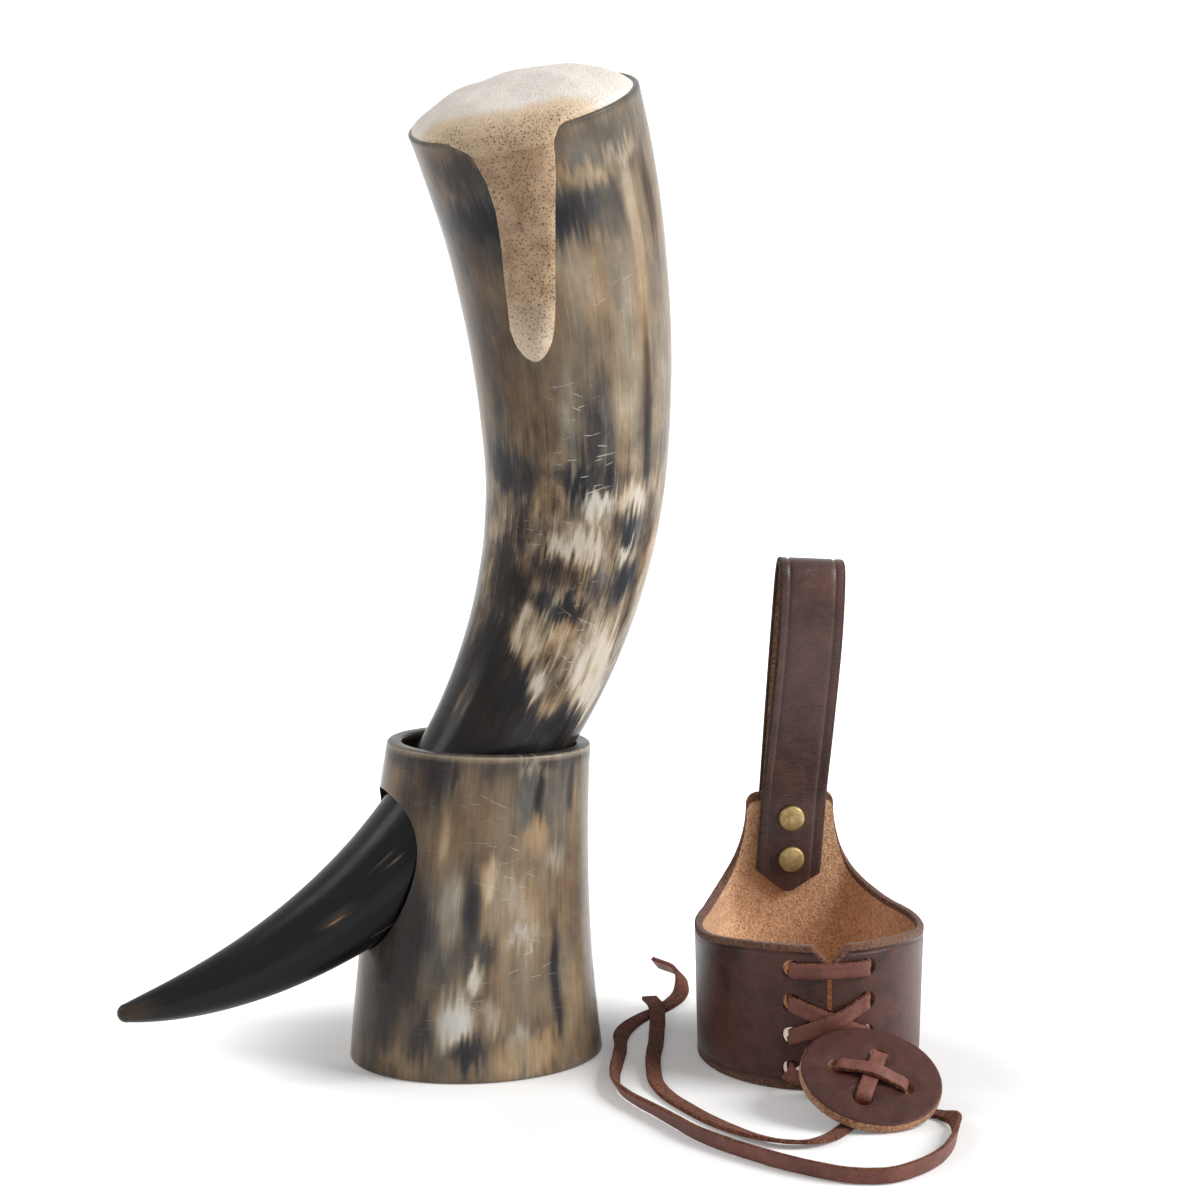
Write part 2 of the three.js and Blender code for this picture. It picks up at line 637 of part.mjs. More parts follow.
// A thong up through one hole, across the face and down another, then level to where its tail starts
function buttonThong(from, to, lift, route) {
  const start = buttonHole(from);
  const end = buttonHole(to);
  const across = end.clone().sub(start).normalize();
  const width = across.clone().cross(UP);
  const face = BUTTON_THICK / 2;
  const over = (share, height) => start.clone().lerp(end, share).setZ(face + height);
  const toDisc = buttonFrame.clone().invert();
  const tailStart = at(route[0][0], route[0][1], TABLE_GAP + THONG_THICK / 2).applyMatrix4(toDisc);
  const tailNext = at(route[1][0], route[1][1], TABLE_GAP + THONG_THICK / 2).applyMatrix4(toDisc);
  const tailAlong = tailNext.sub(tailStart).normalize();
  const tailWidth = tailAlong.clone().cross(UP.clone().transformDirection(toDisc));
  tailStart.addScaledVector(tailAlong, -SEAT_GAP);
  const places = [
    underHole(from, BUTTON_THONG_BELOW),
    underHole(from, 0),
    over(0, -BUTTON_THONG_DIP),
    over(0.05, ON_FACE * 0.7),
    over(0.19, ON_FACE + 0.2 * lift),
    over(0.34, ON_FACE + 0.75 * lift),
    over(0.5, ON_FACE + lift),
    over(0.66, ON_FACE + 0.75 * lift),
    over(0.81, ON_FACE + 0.2 * lift),
    over(0.95, ON_FACE * 0.7),
    over(1, -BUTTON_THONG_DIP),
    underHole(to, 0),
    underHole(to, BUTTON_THONG_LEAVE).addScaledVector(across, BUTTON_THONG_LEAVE / 2),
  ];
  const level = [-TAIL_LEAD, 0].map((back) => tailStart.clone().addScaledVector(tailAlong, back));
  const stations = [
    ...places.map((place) => ({ place, width })),
    ...level.map((place) => ({ place, width: tailWidth })),
  ];
  return thong(stations, BUTTON_THONG_STEPS);
}

function lacing() {
  const toBand = new THREE.Matrix4().makeRotationZ(-HOLSTER_TURN).multiply(buttonFrame);
  const link = (side, hole) => {
    const end = underHole(hole, BUTTON_THONG_BELOW + SEAT_GAP).applyMatrix4(toBand);
    const along = UP.clone().transformDirection(toBand);
    const before = end.clone().addScaledVector(along, -LINK_RISE);
    const x = side * LACE_HOLE_X;
    const bottom = laceRows.at(-1);
    const mouth = lacingStation(x, bottom, LINK_LEAD, SIDE).place;
    const midway = mouth.clone().lerp(before, 0.55);
    midway.z -= LINK_SAG;
    return [
      { place: end, width: SIDE },
      { place: before, width: SIDE },
      { place: midway, width: SIDE },
      { place: mouth, width: at(0.8, 0, 0.6) },
    ];
  };
  const stations = [
    ...link(-1, BACK_LEFT),
    ...laceHole(-1, 3),
    ...insideTurn(-1, 2).toReversed(),
    ...laceHole(-1, 2).toReversed(),
    ...outsideRun(-1, 2, 1, SEAT_GAP + THONG_THICK + SEAT_GAP),
    ...laceHole(1, 1),
    ...insideTurn(1, 0).toReversed(),
    ...laceHole(1, 0).toReversed(),
    ...outsideRun(1, 0, 0, 0),
    ...laceHole(-1, 0),
    ...insideTurn(-1, 0),
    ...laceHole(-1, 1).toReversed(),
    ...outsideRun(-1, 1, 2, 0),
    ...laceHole(1, 2),
    ...insideTurn(1, 2),
    ...laceHole(1, 3).toReversed(),
    ...link(1, BACK_RIGHT).toReversed(),
  ];
  return thong(stations, LACING_STEPS);
}

// Thong tails on the table: x, y, roll in degrees (90 stands on edge) and lift over what is crossed

function tail(route, count) {
  const line = new THREE.CatmullRomCurve3(route.map(([x, y]) => at(x, y, 0)));
  const stations = route.map(([x, y, roll, lift], index) => {
    const along = line.getTangent(index / (route.length - 1));
    const lean = degToRad(roll);
    const side = at(-along.y, along.x, 0).multiplyScalar(Math.cos(lean)).addScaledVector(UP, Math.sin(lean));
    const rest = (THONG_WIDTH / 2) * Math.abs(Math.sin(lean)) + (THONG_THICK / 2) * Math.cos(lean);
    return { place: at(x, y, TABLE_GAP + rest + lift), width: side };
  });
  return thong(stations, count);
}

const LONG_TAIL = [
  [8, -77, 0, 0], [12.5, -82, 5, 0], [13, -91, 45, 0], [9, -102, 75, 0], [2, -114, 85, 0],
  [-7, -125, 88, 0], [-18, -133, 88, 0], [-30, -137, 88, 0], [-41, -133, 88, 0], [-49, -124, 88, 0],
  [-56, -113, 88, 0], [-62, -101, 86, 0], [-67, -89, 84, 0], [-71, -76, 80, 0], [-73, -62, 75, 0],
  [-75, -48, 65, 0], [-77, -35, 60, 0], [-77, -21, 60, 0], [-73, -8, 60, 0], [-67, 5, 60, 0],
  [-61, 18, 50, 0], [-56, 31, 30, 0], [-49, 43, 10, 0], [-40, 53, 0, 0], [-29, 61, 0, 0],
  [-19, 71, 10, 0], [-13, 83, 40, 0], [-10, 96, 50, 0], [-13, 108, 50, 0],
];

const SHORT_TAIL = [
  [-19, -80, 0, 0], [-24.5, -85.5, 0, 0], [-31, -91, 5, 0], [-39, -94, 15, 0], [-47, -91, 20, 0],
  [-53, -83, 15, 0], [-57, -71, 5, 0], [-60, -58, 0, 0], [-62, -44, 0, 0], [-63, -31, 0, 0],
  [-62, -18, 10, 0], [-58, -5, 20, 0], [-53, 8, 25, 0], [-47, 21, 20, 0.2], [-42, 33, 5, 0.8],
  [-37, 45, 0, 1.9], [-33, 57, 0, 2.6], [-31, 68, 0, 2],
];

// The set, with its origin under the middle of everything but the loose thong tails

const stand = new THREE.Group();
stand.add(mesh('horn_stand', hornStand(), 'stand'), mesh('horn_cup', hornCup(), 'horn'));

const shell = new THREE.Group();
shell.rotation.z = HOLSTER_TURN;
shell.add(
  mesh('holster_band', holsterBand(), 'leather'),
  mesh('belt_loop', beltLoop(), 'leather'),
  mesh('lacing_thong', lacing(), 'thong'),
);
Object.entries({ lower: lowerRivet, upper: upperRivet }).forEach(([name, height]) => {
  const rivet = new THREE.Group();
  rivet.position.set(0, TAB_MIDDLE, height);
  rivet.add(mesh(`${name}_rivet`, rivetFront(), 'brass'), mesh(`${name}_rivet_cap`, rivetBack(), 'brass'));
  shell.add(rivet);
});

const button = new THREE.Group();
buttonFrame.decompose(button.position, button.quaternion, button.scale);
button.add(
  mesh('lace_button', laceButton(), 'leather'),
  mesh('button_thong_over', buttonThong(BACK_LEFT, FRONT_RIGHT, SEAT_GAP + THONG_THICK, LONG_TAIL), 'thong'),
  mesh('button_thong_under', buttonThong(BACK_RIGHT, FRONT_LEFT, 0, SHORT_TAIL), 'thong'),
);

const holster = new THREE.Group();
holster.position.set(HOLSTER_X, HOLSTER_Y, 0);
holster.add(shell, button);

const set = new THREE.Group();
set.add(stand, holster);
const middleOfSet = new THREE.Box3().setFromObject(set, true).getCenter(at(0, 0, 0));
set.position.set(-middleOfSet.x, -middleOfSet.y, 0);

holster.add(mesh('long_thong_tail', tail(LONG_TAIL, LONG_TAIL_STEPS), 'thong'));
holster.add(mesh('short_thong_tail', tail(SHORT_TAIL, SHORT_TAIL_STEPS), 'thong'));

export default set;
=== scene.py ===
"""Looks of the drinking horn in its horn stand, with its laced leather belt holster. Metres, +Z up."""
import math

import bmesh
import bpy
import numpy as np
from mathutils import Matrix, Vector, noise


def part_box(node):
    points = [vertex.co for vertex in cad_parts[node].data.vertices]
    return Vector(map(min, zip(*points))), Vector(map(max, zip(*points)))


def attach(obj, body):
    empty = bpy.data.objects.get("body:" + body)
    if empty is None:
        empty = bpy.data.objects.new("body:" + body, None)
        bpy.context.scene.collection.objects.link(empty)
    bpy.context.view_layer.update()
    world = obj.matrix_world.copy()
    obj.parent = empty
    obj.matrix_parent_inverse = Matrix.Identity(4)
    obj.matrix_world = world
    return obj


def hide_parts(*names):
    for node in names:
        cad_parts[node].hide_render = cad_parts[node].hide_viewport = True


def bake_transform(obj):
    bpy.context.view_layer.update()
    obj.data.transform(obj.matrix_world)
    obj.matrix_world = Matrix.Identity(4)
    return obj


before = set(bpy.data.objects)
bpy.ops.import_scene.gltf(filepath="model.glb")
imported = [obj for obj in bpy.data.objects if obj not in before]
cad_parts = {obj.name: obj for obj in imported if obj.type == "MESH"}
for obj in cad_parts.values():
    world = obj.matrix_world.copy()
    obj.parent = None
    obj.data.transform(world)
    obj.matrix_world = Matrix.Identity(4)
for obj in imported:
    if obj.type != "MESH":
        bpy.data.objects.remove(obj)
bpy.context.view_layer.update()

# Sizes of the solids, in metres
SEAT_GAP = 0.0003
TABLE_GAP = 0.0002

LOWER_BEND_RADIUS = 0.180
LOWER_BEND_ANGLE = math.radians(85.6)
UPPER_BEND_RADIUS = 0.368
UPPER_BEND_ANGLE = math.radians(18.2)
MOUTH_RADIUS = 0.0388
TAPER_POWER = 0.638
TIP_RADIUS = 0.0032
TIP_HEIGHT = 0.0259
LIP_WALL = 0.0024
DEEP_WALL = 0.006
CAVITY_DEPTH = 0.222
CAVITY_END = 0.030
LIP_LEVELLING = math.radians(4.5)
LIP_REACH = 0.070

STAND_HEIGHT = 0.108
STAND_WALL = 0.005
BASE_HALF_WIDTH = 0.0434
BASE_HALF_DEPTH = 0.0365
HORN_AT_RIM = 0.0075
RIM_ROOM = 0.006
RIM_ROOM_SIDE = 0.0026
RIM_DROP = math.radians(3.0)
RIM_FRONT_RISE = math.radians(3.0)
HOLE_ROOM_ABOVE = 0.0032
HOLE_ROOM_SIDE = 0.0018
HOLE_CUT_PAST_WALL = 0.024
HOLE_CUT_SHORT_OF_AXIS = 0.006

HOLSTER_X = 0.1045
HOLSTER_Y = -0.0405
HOLSTER_TURN = math.radians(-13.5)
BAND_HALF_WIDTH = 0.0384
BAND_HALF_DEPTH = 0.044
BAND_FOOT_DRAW = 0.0012
LEATHER = 0.0026
BAND_SIDE_HEIGHT = 0.0455
BAND_FRONT_HEIGHT = 0.050
SLIT = 0.002
NOTCH_HALF_WIDTH = 0.0062
NOTCH_DEPTH = 0.0055
TAB_HEIGHT = 0.080
TAB_HALF_WIDTH = 0.015
TAB_CORNER = 0.004
FLARE_REACH = 0.021
FLAT_FROM = 0.012
FLAT_BELOW_STRAP = 0.0035
FLAT_TO_X = 0.0165
FLAT_FADE = 0.018

STRAP_WIDTH = 0.0225
STRAP_THICK = 0.0024
STRAP_FRONT_BELOW_RIVET = 0.0115
STRAP_BACK_BELOW_RIVET = 0.007
STRAP_POINT = 0.0075
STRAP_LEAN = math.radians(4.0)
LOOP_RISE = 0.0815
LOOP_FRONT_BULGE = 0.0096
LOOP_BACK_BULGE = 0.0046
LOOP_FOLD_RADIUS = 0.0044
LOOP_OPENING = 0.3
LOOP_WIDEST = 0.68
LOOP_FRONT_OPEN = 0.55
LOOP_BACK_OPEN = 0.6
LOOP_FRONT_FOLD = 1.35

RIVET_BELOW_TAB_TOP = 0.0085
RIVET_PITCH = 0.0145
RIVET_CAP_RADIUS = 0.0045
RIVET_CAP_HEIGHT = 0.002
RIVET_POST_RADIUS = 0.0017

THONG_WIDTH = 0.0054
THONG_THICK = 0.0015
THONG_HOLE_ROOM = 0.0005
LACE_HOLE_X = 0.0128
LACE_TOP_MARGIN = 0.0085
LACE_FOOT_MARGIN = 0.007
LACE_ROW_COUNT = 4
LACE_INSIDE_SLACK = 0.0026
LACE_RUN_END = 0.14
LINK_LEAD = 0.004
LINK_RISE = 0.0022
LINK_SAG = 0.0012

BUTTON_RADIUS = 0.0236
BUTTON_THICK = 0.004
BUTTON_TILT = math.radians(26.0)
BUTTON_X = -0.0075
BUTTON_HOLE_CIRCLE = 0.0115
BUTTON_HOLE_TURN = math.radians(10.0)
BUTTON_EDGE_EASE = 0.0008
BUTTON_HOLE_FLOOR = 0.001
BUTTON_THONG_BELOW = 0.0022
BUTTON_THONG_DIP = 0.0006
BUTTON_THONG_LEAVE = 0.0016
TAIL_LEAD = 0.0026

# Sizes that only the looks have
GROOVE_INSET = 0.0032
GROOVE_HALF = 0.0006
GROOVE_DEPTH = 0.0004
STRAP_GROOVE_INSET = 0.0034
STRAP_GROOVE_CLEAR = 0.002
STRAP_POINT_BLUNT = 0.001
STRAP_EDGE_PAINT = 0.0008
EDGE_MARGIN = 0.001
NAP_HEIGHT = 0.0001
NAP_SCALE = 900.0
EDGE_NAP_HEIGHT = 0.00016
EDGE_NAP_SCALE = 650.0
LIP_EASE = 0.0009
RIM_EASE = 0.0011
STAND_WAIST = 0.0014
DISC_EASE = 0.0011
DISC_MIDDLE = 0.0004
DISC_NAP_HEIGHT = 0.0002
DISC_NAP_SCALE = 800.0
DISC_NAP_CLEAR = 0.0005
DIMPLE_DEPTH = 0.0005
DIMPLE_REACH = 0.0016
WRINKLE_DEPTH = 0.00018
WRINKLE_RADIUS = 0.010
WRINKLE_REACH = 0.006
FOAM_RISE = 0.0092
FOAM_SINK = 0.0022
FOAM_FRONT = 0.0017
FOAM_SKIRT = 0.006
FOAM_LIFT = 0.0006
FOAM_ROLL = 0.0026
FOAM_ROLL_TURNS = (-158.0, -86.0)
FOAM_SMOOTHINGS = 9
DRIP_LENGTH = 0.08
DRIP_SINK = 0.0012
FOAM_FRONT_TURN = math.radians(122.0)
FOAM_SINK_TURN = math.radians(35.0)
FOAM_VOXEL = 0.0007
CAVITY_LEAST = 1e-5
HOLE_EASE = 0.0006
DOUBLES_DISTANCE = 0.00012
WOBBLE = 0.00028
WOBBLE_SCALE = 34.0
WOBBLE_FROM = (0.195, 0.26)
WOBBLE_STOP = 0.02

# How finely the pieces are meshed
HORN_SIDES = 240
HORN_ROWS = 260
STAND_SIDES = 264
STAND_ROWS = 70
SLEEVE_SIDES = 72
SLEEVE_ROWS = 30
BAND_ROWS = 26
BAND_INSIDE_ROWS = 44
STRAP_ROWS = 230
DRILL_SIDES = 28
RIVET_SIDES = 56
BUTTON_SIDES = 120
FOAM_SIDES = 96
TIP_ROWS = 9
LIP_ROWS = 9
CAVITY_ROWS = 50
CAVITY_END_ROWS = 10
RIM_ROWS = 5
TAB_STEPS = 14
FLARE_STEPS = 31
BAND_SIDE_STEPS = 76
NOTCH_STEPS = 10
STRAP_STEPS = 24
STRAP_MIDDLE_STEPS = 6
RIVET_DOME_ROWS = 14
THONG_STEPS = 9
TAIL_STEPS = 10
BUTTON_FACE_ROWS = 44
BUTTON_EASE_ROWS = 6
BUTTON_WALL_ROWS = 9
FOAM_ROWS = 40
FOAM_ROLL_SIDES = 20
DRIP_ROWS = 90
DRIP_STEPS = 26
HALVINGS = 40

# The least angle, in degrees, that stays a sharp edge
HORN_CREASE = 50.0
LEATHER_CREASE = 55.0
BRASS_CREASE = 50.0
THONG_CREASE = 60.0
DISC_CREASE = 45.0

# Tones from 0, black, to 1, cream, and warmths from 0, grey, to 1, brown
LIP_TONE = 0.3
LIP_WARMTH = 0.3
STAND_TONE = 0.39
STAND_WARMTH = 0.6
STAND_BUSY = 0.42
STAND_SCRATCHED = 0.05
RIM_TONE = 0.2
RIM_WARMTH = 0.35
# A painted highlight: a pale band along the stand's eased rim edge, its tone and how strongly it is laid
# over
RIM_HIGHLIGHT_TONE = 0.74
RIM_HIGHLIGHT_SHARE = 0.7

UP = np.array((0.0, 0.0, 1.0))
SIDE = np.array((1.0, 0.0, 0.0))
DEEP = np.array((0.0, 1.0, 0.0))

# Places in the set: the stand's axis and the middle of the holster's foot
STAND_LOW, STAND_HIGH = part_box("horn_stand")
STAND = np.array(((STAND_LOW[0] + STAND_HIGH[0]) / 2, (STAND_LOW[1] + STAND_HIGH[1]) / 2, 0.0))
HOLSTER = STAND + np.array((HOLSTER_X, HOLSTER_Y, 0.0))


# Camera, at the photograph's angle

CAMERA_AZIMUTH = math.radians(-19.5)
CAMERA_ELEVATION = math.radians(17.4)
CAMERA_DISTANCE = 1.935
CAMERA_AIM_RIGHT = 0.0428
CAMERA_AIM_UP = 0.1528
CAMERA_LENS = 171.0


def place_camera():
    flat = math.cos(CAMERA_ELEVATION)
    back = Vector((
        math.sin(CAMERA_AZIMUTH) * flat, -math.cos(CAMERA_AZIMUTH) * flat, math.sin(CAMERA_ELEVATION),
    ))
    right = Vector((math.cos(CAMERA_AZIMUTH), math.sin(CAMERA_AZIMUTH), 0.0))
    upward = back.cross(right)
    base = Vector(STAND)
    aim = base + CAMERA_AIM_RIGHT * right + CAMERA_AIM_UP * upward
    camera = bpy.data.objects.new("camera", bpy.data.cameras.new("camera"))
    camera.data.lens = CAMERA_LENS
    camera.data.clip_end = 20.0
    camera.location = base + CAMERA_DISTANCE * back
    camera.rotation_euler = (aim - camera.location).to_track_quat("-Z", "Y").to_euler()
    bpy.context.scene.collection.objects.link(camera)
    bpy.context.scene.camera = camera


# Shapes

def ease(value, low, high):
    """A smooth step from 0 at low to 1 at high."""
    share = np.clip((value - low) / (high - low), 0.0, 1.0)
    return share * share * (3.0 - 2.0 * share)


def between(first, second, share):
    return first + (second - first) * share


def unit(vectors):
    return vectors / np.linalg.norm(vectors, axis=-1, keepdims=True)


def full_turn(sides):
    return np.linspace(0.0, 2 * np.pi, sides, endpoint=False)


def ripple(points, scale, seed=0.0):
    """Soft noise from about -1 to 1 at each point."""
    flat = np.asarray(points, float).reshape(-1, 3) * scale + seed
    values = [noise.noise(Vector(point)) for point in flat]
    return np.array(values).reshape(np.shape(points)[:-1])


def loft(rings, loop=False, closed=True):
    """Points and faces over rings of equal length. They loop round, or their ends are closed flat."""
    count, sides = rings.shape[:2]
    ring, side = np.meshgrid(np.arange(count if loop else count - 1), np.arange(sides), indexing="ij")
    here = ring * sides
    there = (ring + 1) % count * sides
    after = (side + 1) % sides
    faces = np.stack((here + side, here + after, there + after, there + side), -1).reshape(-1, 4).tolist()
    if closed and not loop:
        faces.append(list(range(sides))[::-1])
        faces.append(list(range((count - 1) * sides, count * sides)))
    return rings.reshape(-1, 3), faces


def ribbon(rings):
    """Points and faces of a flat strip. Each ring goes along one face and back along the other."""
    points, faces = loft(rings, closed=False)
    count, sides = rings.shape[:2]
    for first in (0, (count - 1) * sides):
        for side in range(sides // 2 - 1):
            back = sides - 1 - side
            faces.append([first + side, first + side + 1, first + back - 1, first + back])
    return points, faces


def rework(mesh, change):
    """Changes a mesh through bmesh and leaves its faces smooth."""
    work = bmesh.new()
    work.from_mesh(mesh)
    change(work)
    work.to_mesh(mesh)
    work.free()
    mesh.shade_smooth()


def new_piece(name, points, faces, materials):
    """A mesh object with smooth faces that point out."""
    mesh = bpy.data.meshes.new(name)
    mesh.from_pydata(np.asarray(points).tolist(), [], faces)
    for material in materials:
        mesh.materials.append(material)
    rework(mesh, lambda work: bmesh.ops.recalc_face_normals(work, faces=work.faces))
    piece = bpy.data.objects.new(name, mesh)
    bpy.context.scene.collection.objects.link(piece)
    return piece


def paint_sides(piece, rings, side_materials):
    """Gives each face of a strip or loft the material of its side; end faces take the last side's."""
    count, sides = rings.shape[:2]
    indices = np.full(len(piece.data.polygons), side_materials[-1])
    indices[:(count - 1) * sides] = np.tile(side_materials, count - 1)
    piece.data.polygons.foreach_set("material_index", indices)


def write_vectors(piece, name, values):
    layer = piece.data.attributes.new(name, "FLOAT_VECTOR", "POINT")
    layer.data.foreach_set("vector", np.asarray(values, np.float32).ravel())


def write_values(piece, name, values):
    layer = piece.data.attributes.new(name, "FLOAT", "POINT")
    layer.data.foreach_set("value", np.asarray(values, np.float32).ravel())


def read_values(items, name, kind=int, each=1):
    values = np.empty(len(items) * each, kind)
    items.foreach_get(name, values)
    return values


def vertices_of(piece):
    return read_values(piece.data.vertices, "co", float, 3).reshape(-1, 3)


def apply_modifiers(piece):
    bpy.context.view_layer.update()
    graph = bpy.context.evaluated_depsgraph_get()
    done = bpy.data.meshes.new_from_object(piece.evaluated_get(graph))
    piece.modifiers.clear()
    piece.data = done


def cut(piece, tools):
    """Takes the tools' shapes out of the piece; the cut faces get the tools' material."""
    for tool in tools:
        taken = piece.modifiers.new("cut", "BOOLEAN")
        taken.operation = "DIFFERENCE"
        taken.solver = "EXACT"
        taken.material_mode = "TRANSFER"
        taken.object = tool
    apply_modifiers(piece)
    for tool in tools:
        bpy.data.objects.remove(tool)
    piece.data.shade_smooth()


def ease_cut_edge(piece, width):
    """Rounds the edge between the outside and a cut."""
    def change(work):
        bmesh.ops.remove_doubles(work, verts=work.verts, dist=DOUBLES_DISTANCE)
        edges = [edge for edge in work.edges if len({face.material_index for face in edge.link_faces}) == 2]
        bmesh.ops.bevel(
            work, geom=edges, offset=width, segments=2, profile=0.5, affect="EDGES", clamp_overlap=True,
        )

    rework(piece.data, change)


def harden(piece, degrees):
    """Keeps a hard line where the surface turns by more than the angle."""
    piece.data.set_sharp_from_angle(angle=math.radians(degrees))


def settle(piece, body, slot, *nodes):
    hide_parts(*nodes)
    if body:
        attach(piece, body)


def drill(radius, length, centre, along, material):
    """A round cutter through a point, along a direction."""
    turns = full_turn(DRILL_SIDES)
    first = unit(np.cross(along, UP if abs(along[2]) < 0.9 else SIDE))
    second = np.cross(along, first)
    circle = np.cos(turns)[:, None] * first + np.sin(turns)[:, None] * second
    rings = np.stack([centre + radius * circle + reach * length * along for reach in (-0.5, 0.5)])
    return new_piece("drill", *loft(rings), [material])


# Horn axis: an arc from the tip to where the horn stands upright, then a wider arc to the mouth

LOWER_LENGTH = LOWER_BEND_RADIUS * LOWER_BEND_ANGLE
HORN_LENGTH = LOWER_LENGTH + UPPER_BEND_RADIUS * UPPER_BEND_ANGLE
BEND_Z = TIP_HEIGHT + LOWER_BEND_RADIUS * math.sin(LOWER_BEND_ANGLE)
BEND_X = STAND[0] + HORN_AT_RIM - math.sqrt(LOWER_BEND_RADIUS ** 2 - (BEND_Z - STAND_HEIGHT) ** 2)
CAVITY_BOTTOM = HORN_LENGTH - CAVITY_DEPTH


def bend_angle(length):
    lower = length / LOWER_BEND_RADIUS - LOWER_BEND_ANGLE
    return np.where(length < LOWER_LENGTH, lower, (length - LOWER_LENGTH) / UPPER_BEND_RADIUS)


def horn_axis(length):
    radius = np.where(length < LOWER_LENGTH, LOWER_BEND_RADIUS, UPPER_BEND_RADIUS)
    angle = bend_angle(length)
    x = BEND_X + LOWER_BEND_RADIUS - radius + radius * np.cos(angle)
    return np.stack((x, np.full_like(x, STAND[1]), BEND_Z + radius * np.sin(angle)), -1)


def horn_outward(length):
    angle = bend_angle(length) - LIP_LEVELLING * ease(length, HORN_LENGTH - LIP_REACH, HORN_LENGTH)
    return np.stack((np.cos(angle), np.zeros_like(angle), np.sin(angle)), -1)


def horn_radius(length):
    return MOUTH_RADIUS * (np.maximum(length, 0.0) / HORN_LENGTH) ** TAPER_POWER


def length_where_x(x):
    return LOWER_BEND_RADIUS * (LOWER_BEND_ANGLE - math.acos((x - BEND_X) / LOWER_BEND_RADIUS))


def cavity_radius(length):
    wall = between(LIP_WALL, DEEP_WALL, (HORN_LENGTH - length) / CAVITY_DEPTH)
    rounding = np.clip((length - CAVITY_BOTTOM) / CAVITY_END, 0.0, 1.0)
    return (horn_radius(length) - wall) * np.sqrt(1.0 - (1.0 - rounding) ** 2)


def horn_points(length, radius, turn):
    """Points round the horn's axis; length, radius and turn share one shape."""
    length, radius, turn = np.broadcast_arrays(length, radius, turn)
    across = np.cos(turn)[..., None] * horn_outward(length) + np.sin(turn)[..., None] * DEEP
    return horn_axis(length) + radius[..., None] * across


def soft_spots(along, turn, base, spots):
    """Tone and warmth over a surface: soft-edged spots laid in order over a base."""
    tone, warmth = base
    for centre, centre_turn, half, half_turn, spot_tone, spot_warmth in spots:
        turned = (np.degrees(turn) - centre_turn + 180.0) % 360.0 - 180.0
        distance = np.hypot((along * 1000.0 - centre) / half, turned / half_turn)
        weight = 1.0 - ease(distance, 0.35, 1.5)
        tone = between(tone, spot_tone, weight)
        warmth = between(warmth, spot_warmth, weight)
    return tone, warmth


def with_far_side(spots, along_shift, turn_shift):
    """The spots that the photograph shows, after the same ones laid over the side that it doesn't show."""
    far = [(along + along_shift, turn + turn_shift, *rest) for along, turn, *rest in spots]
    return far + spots


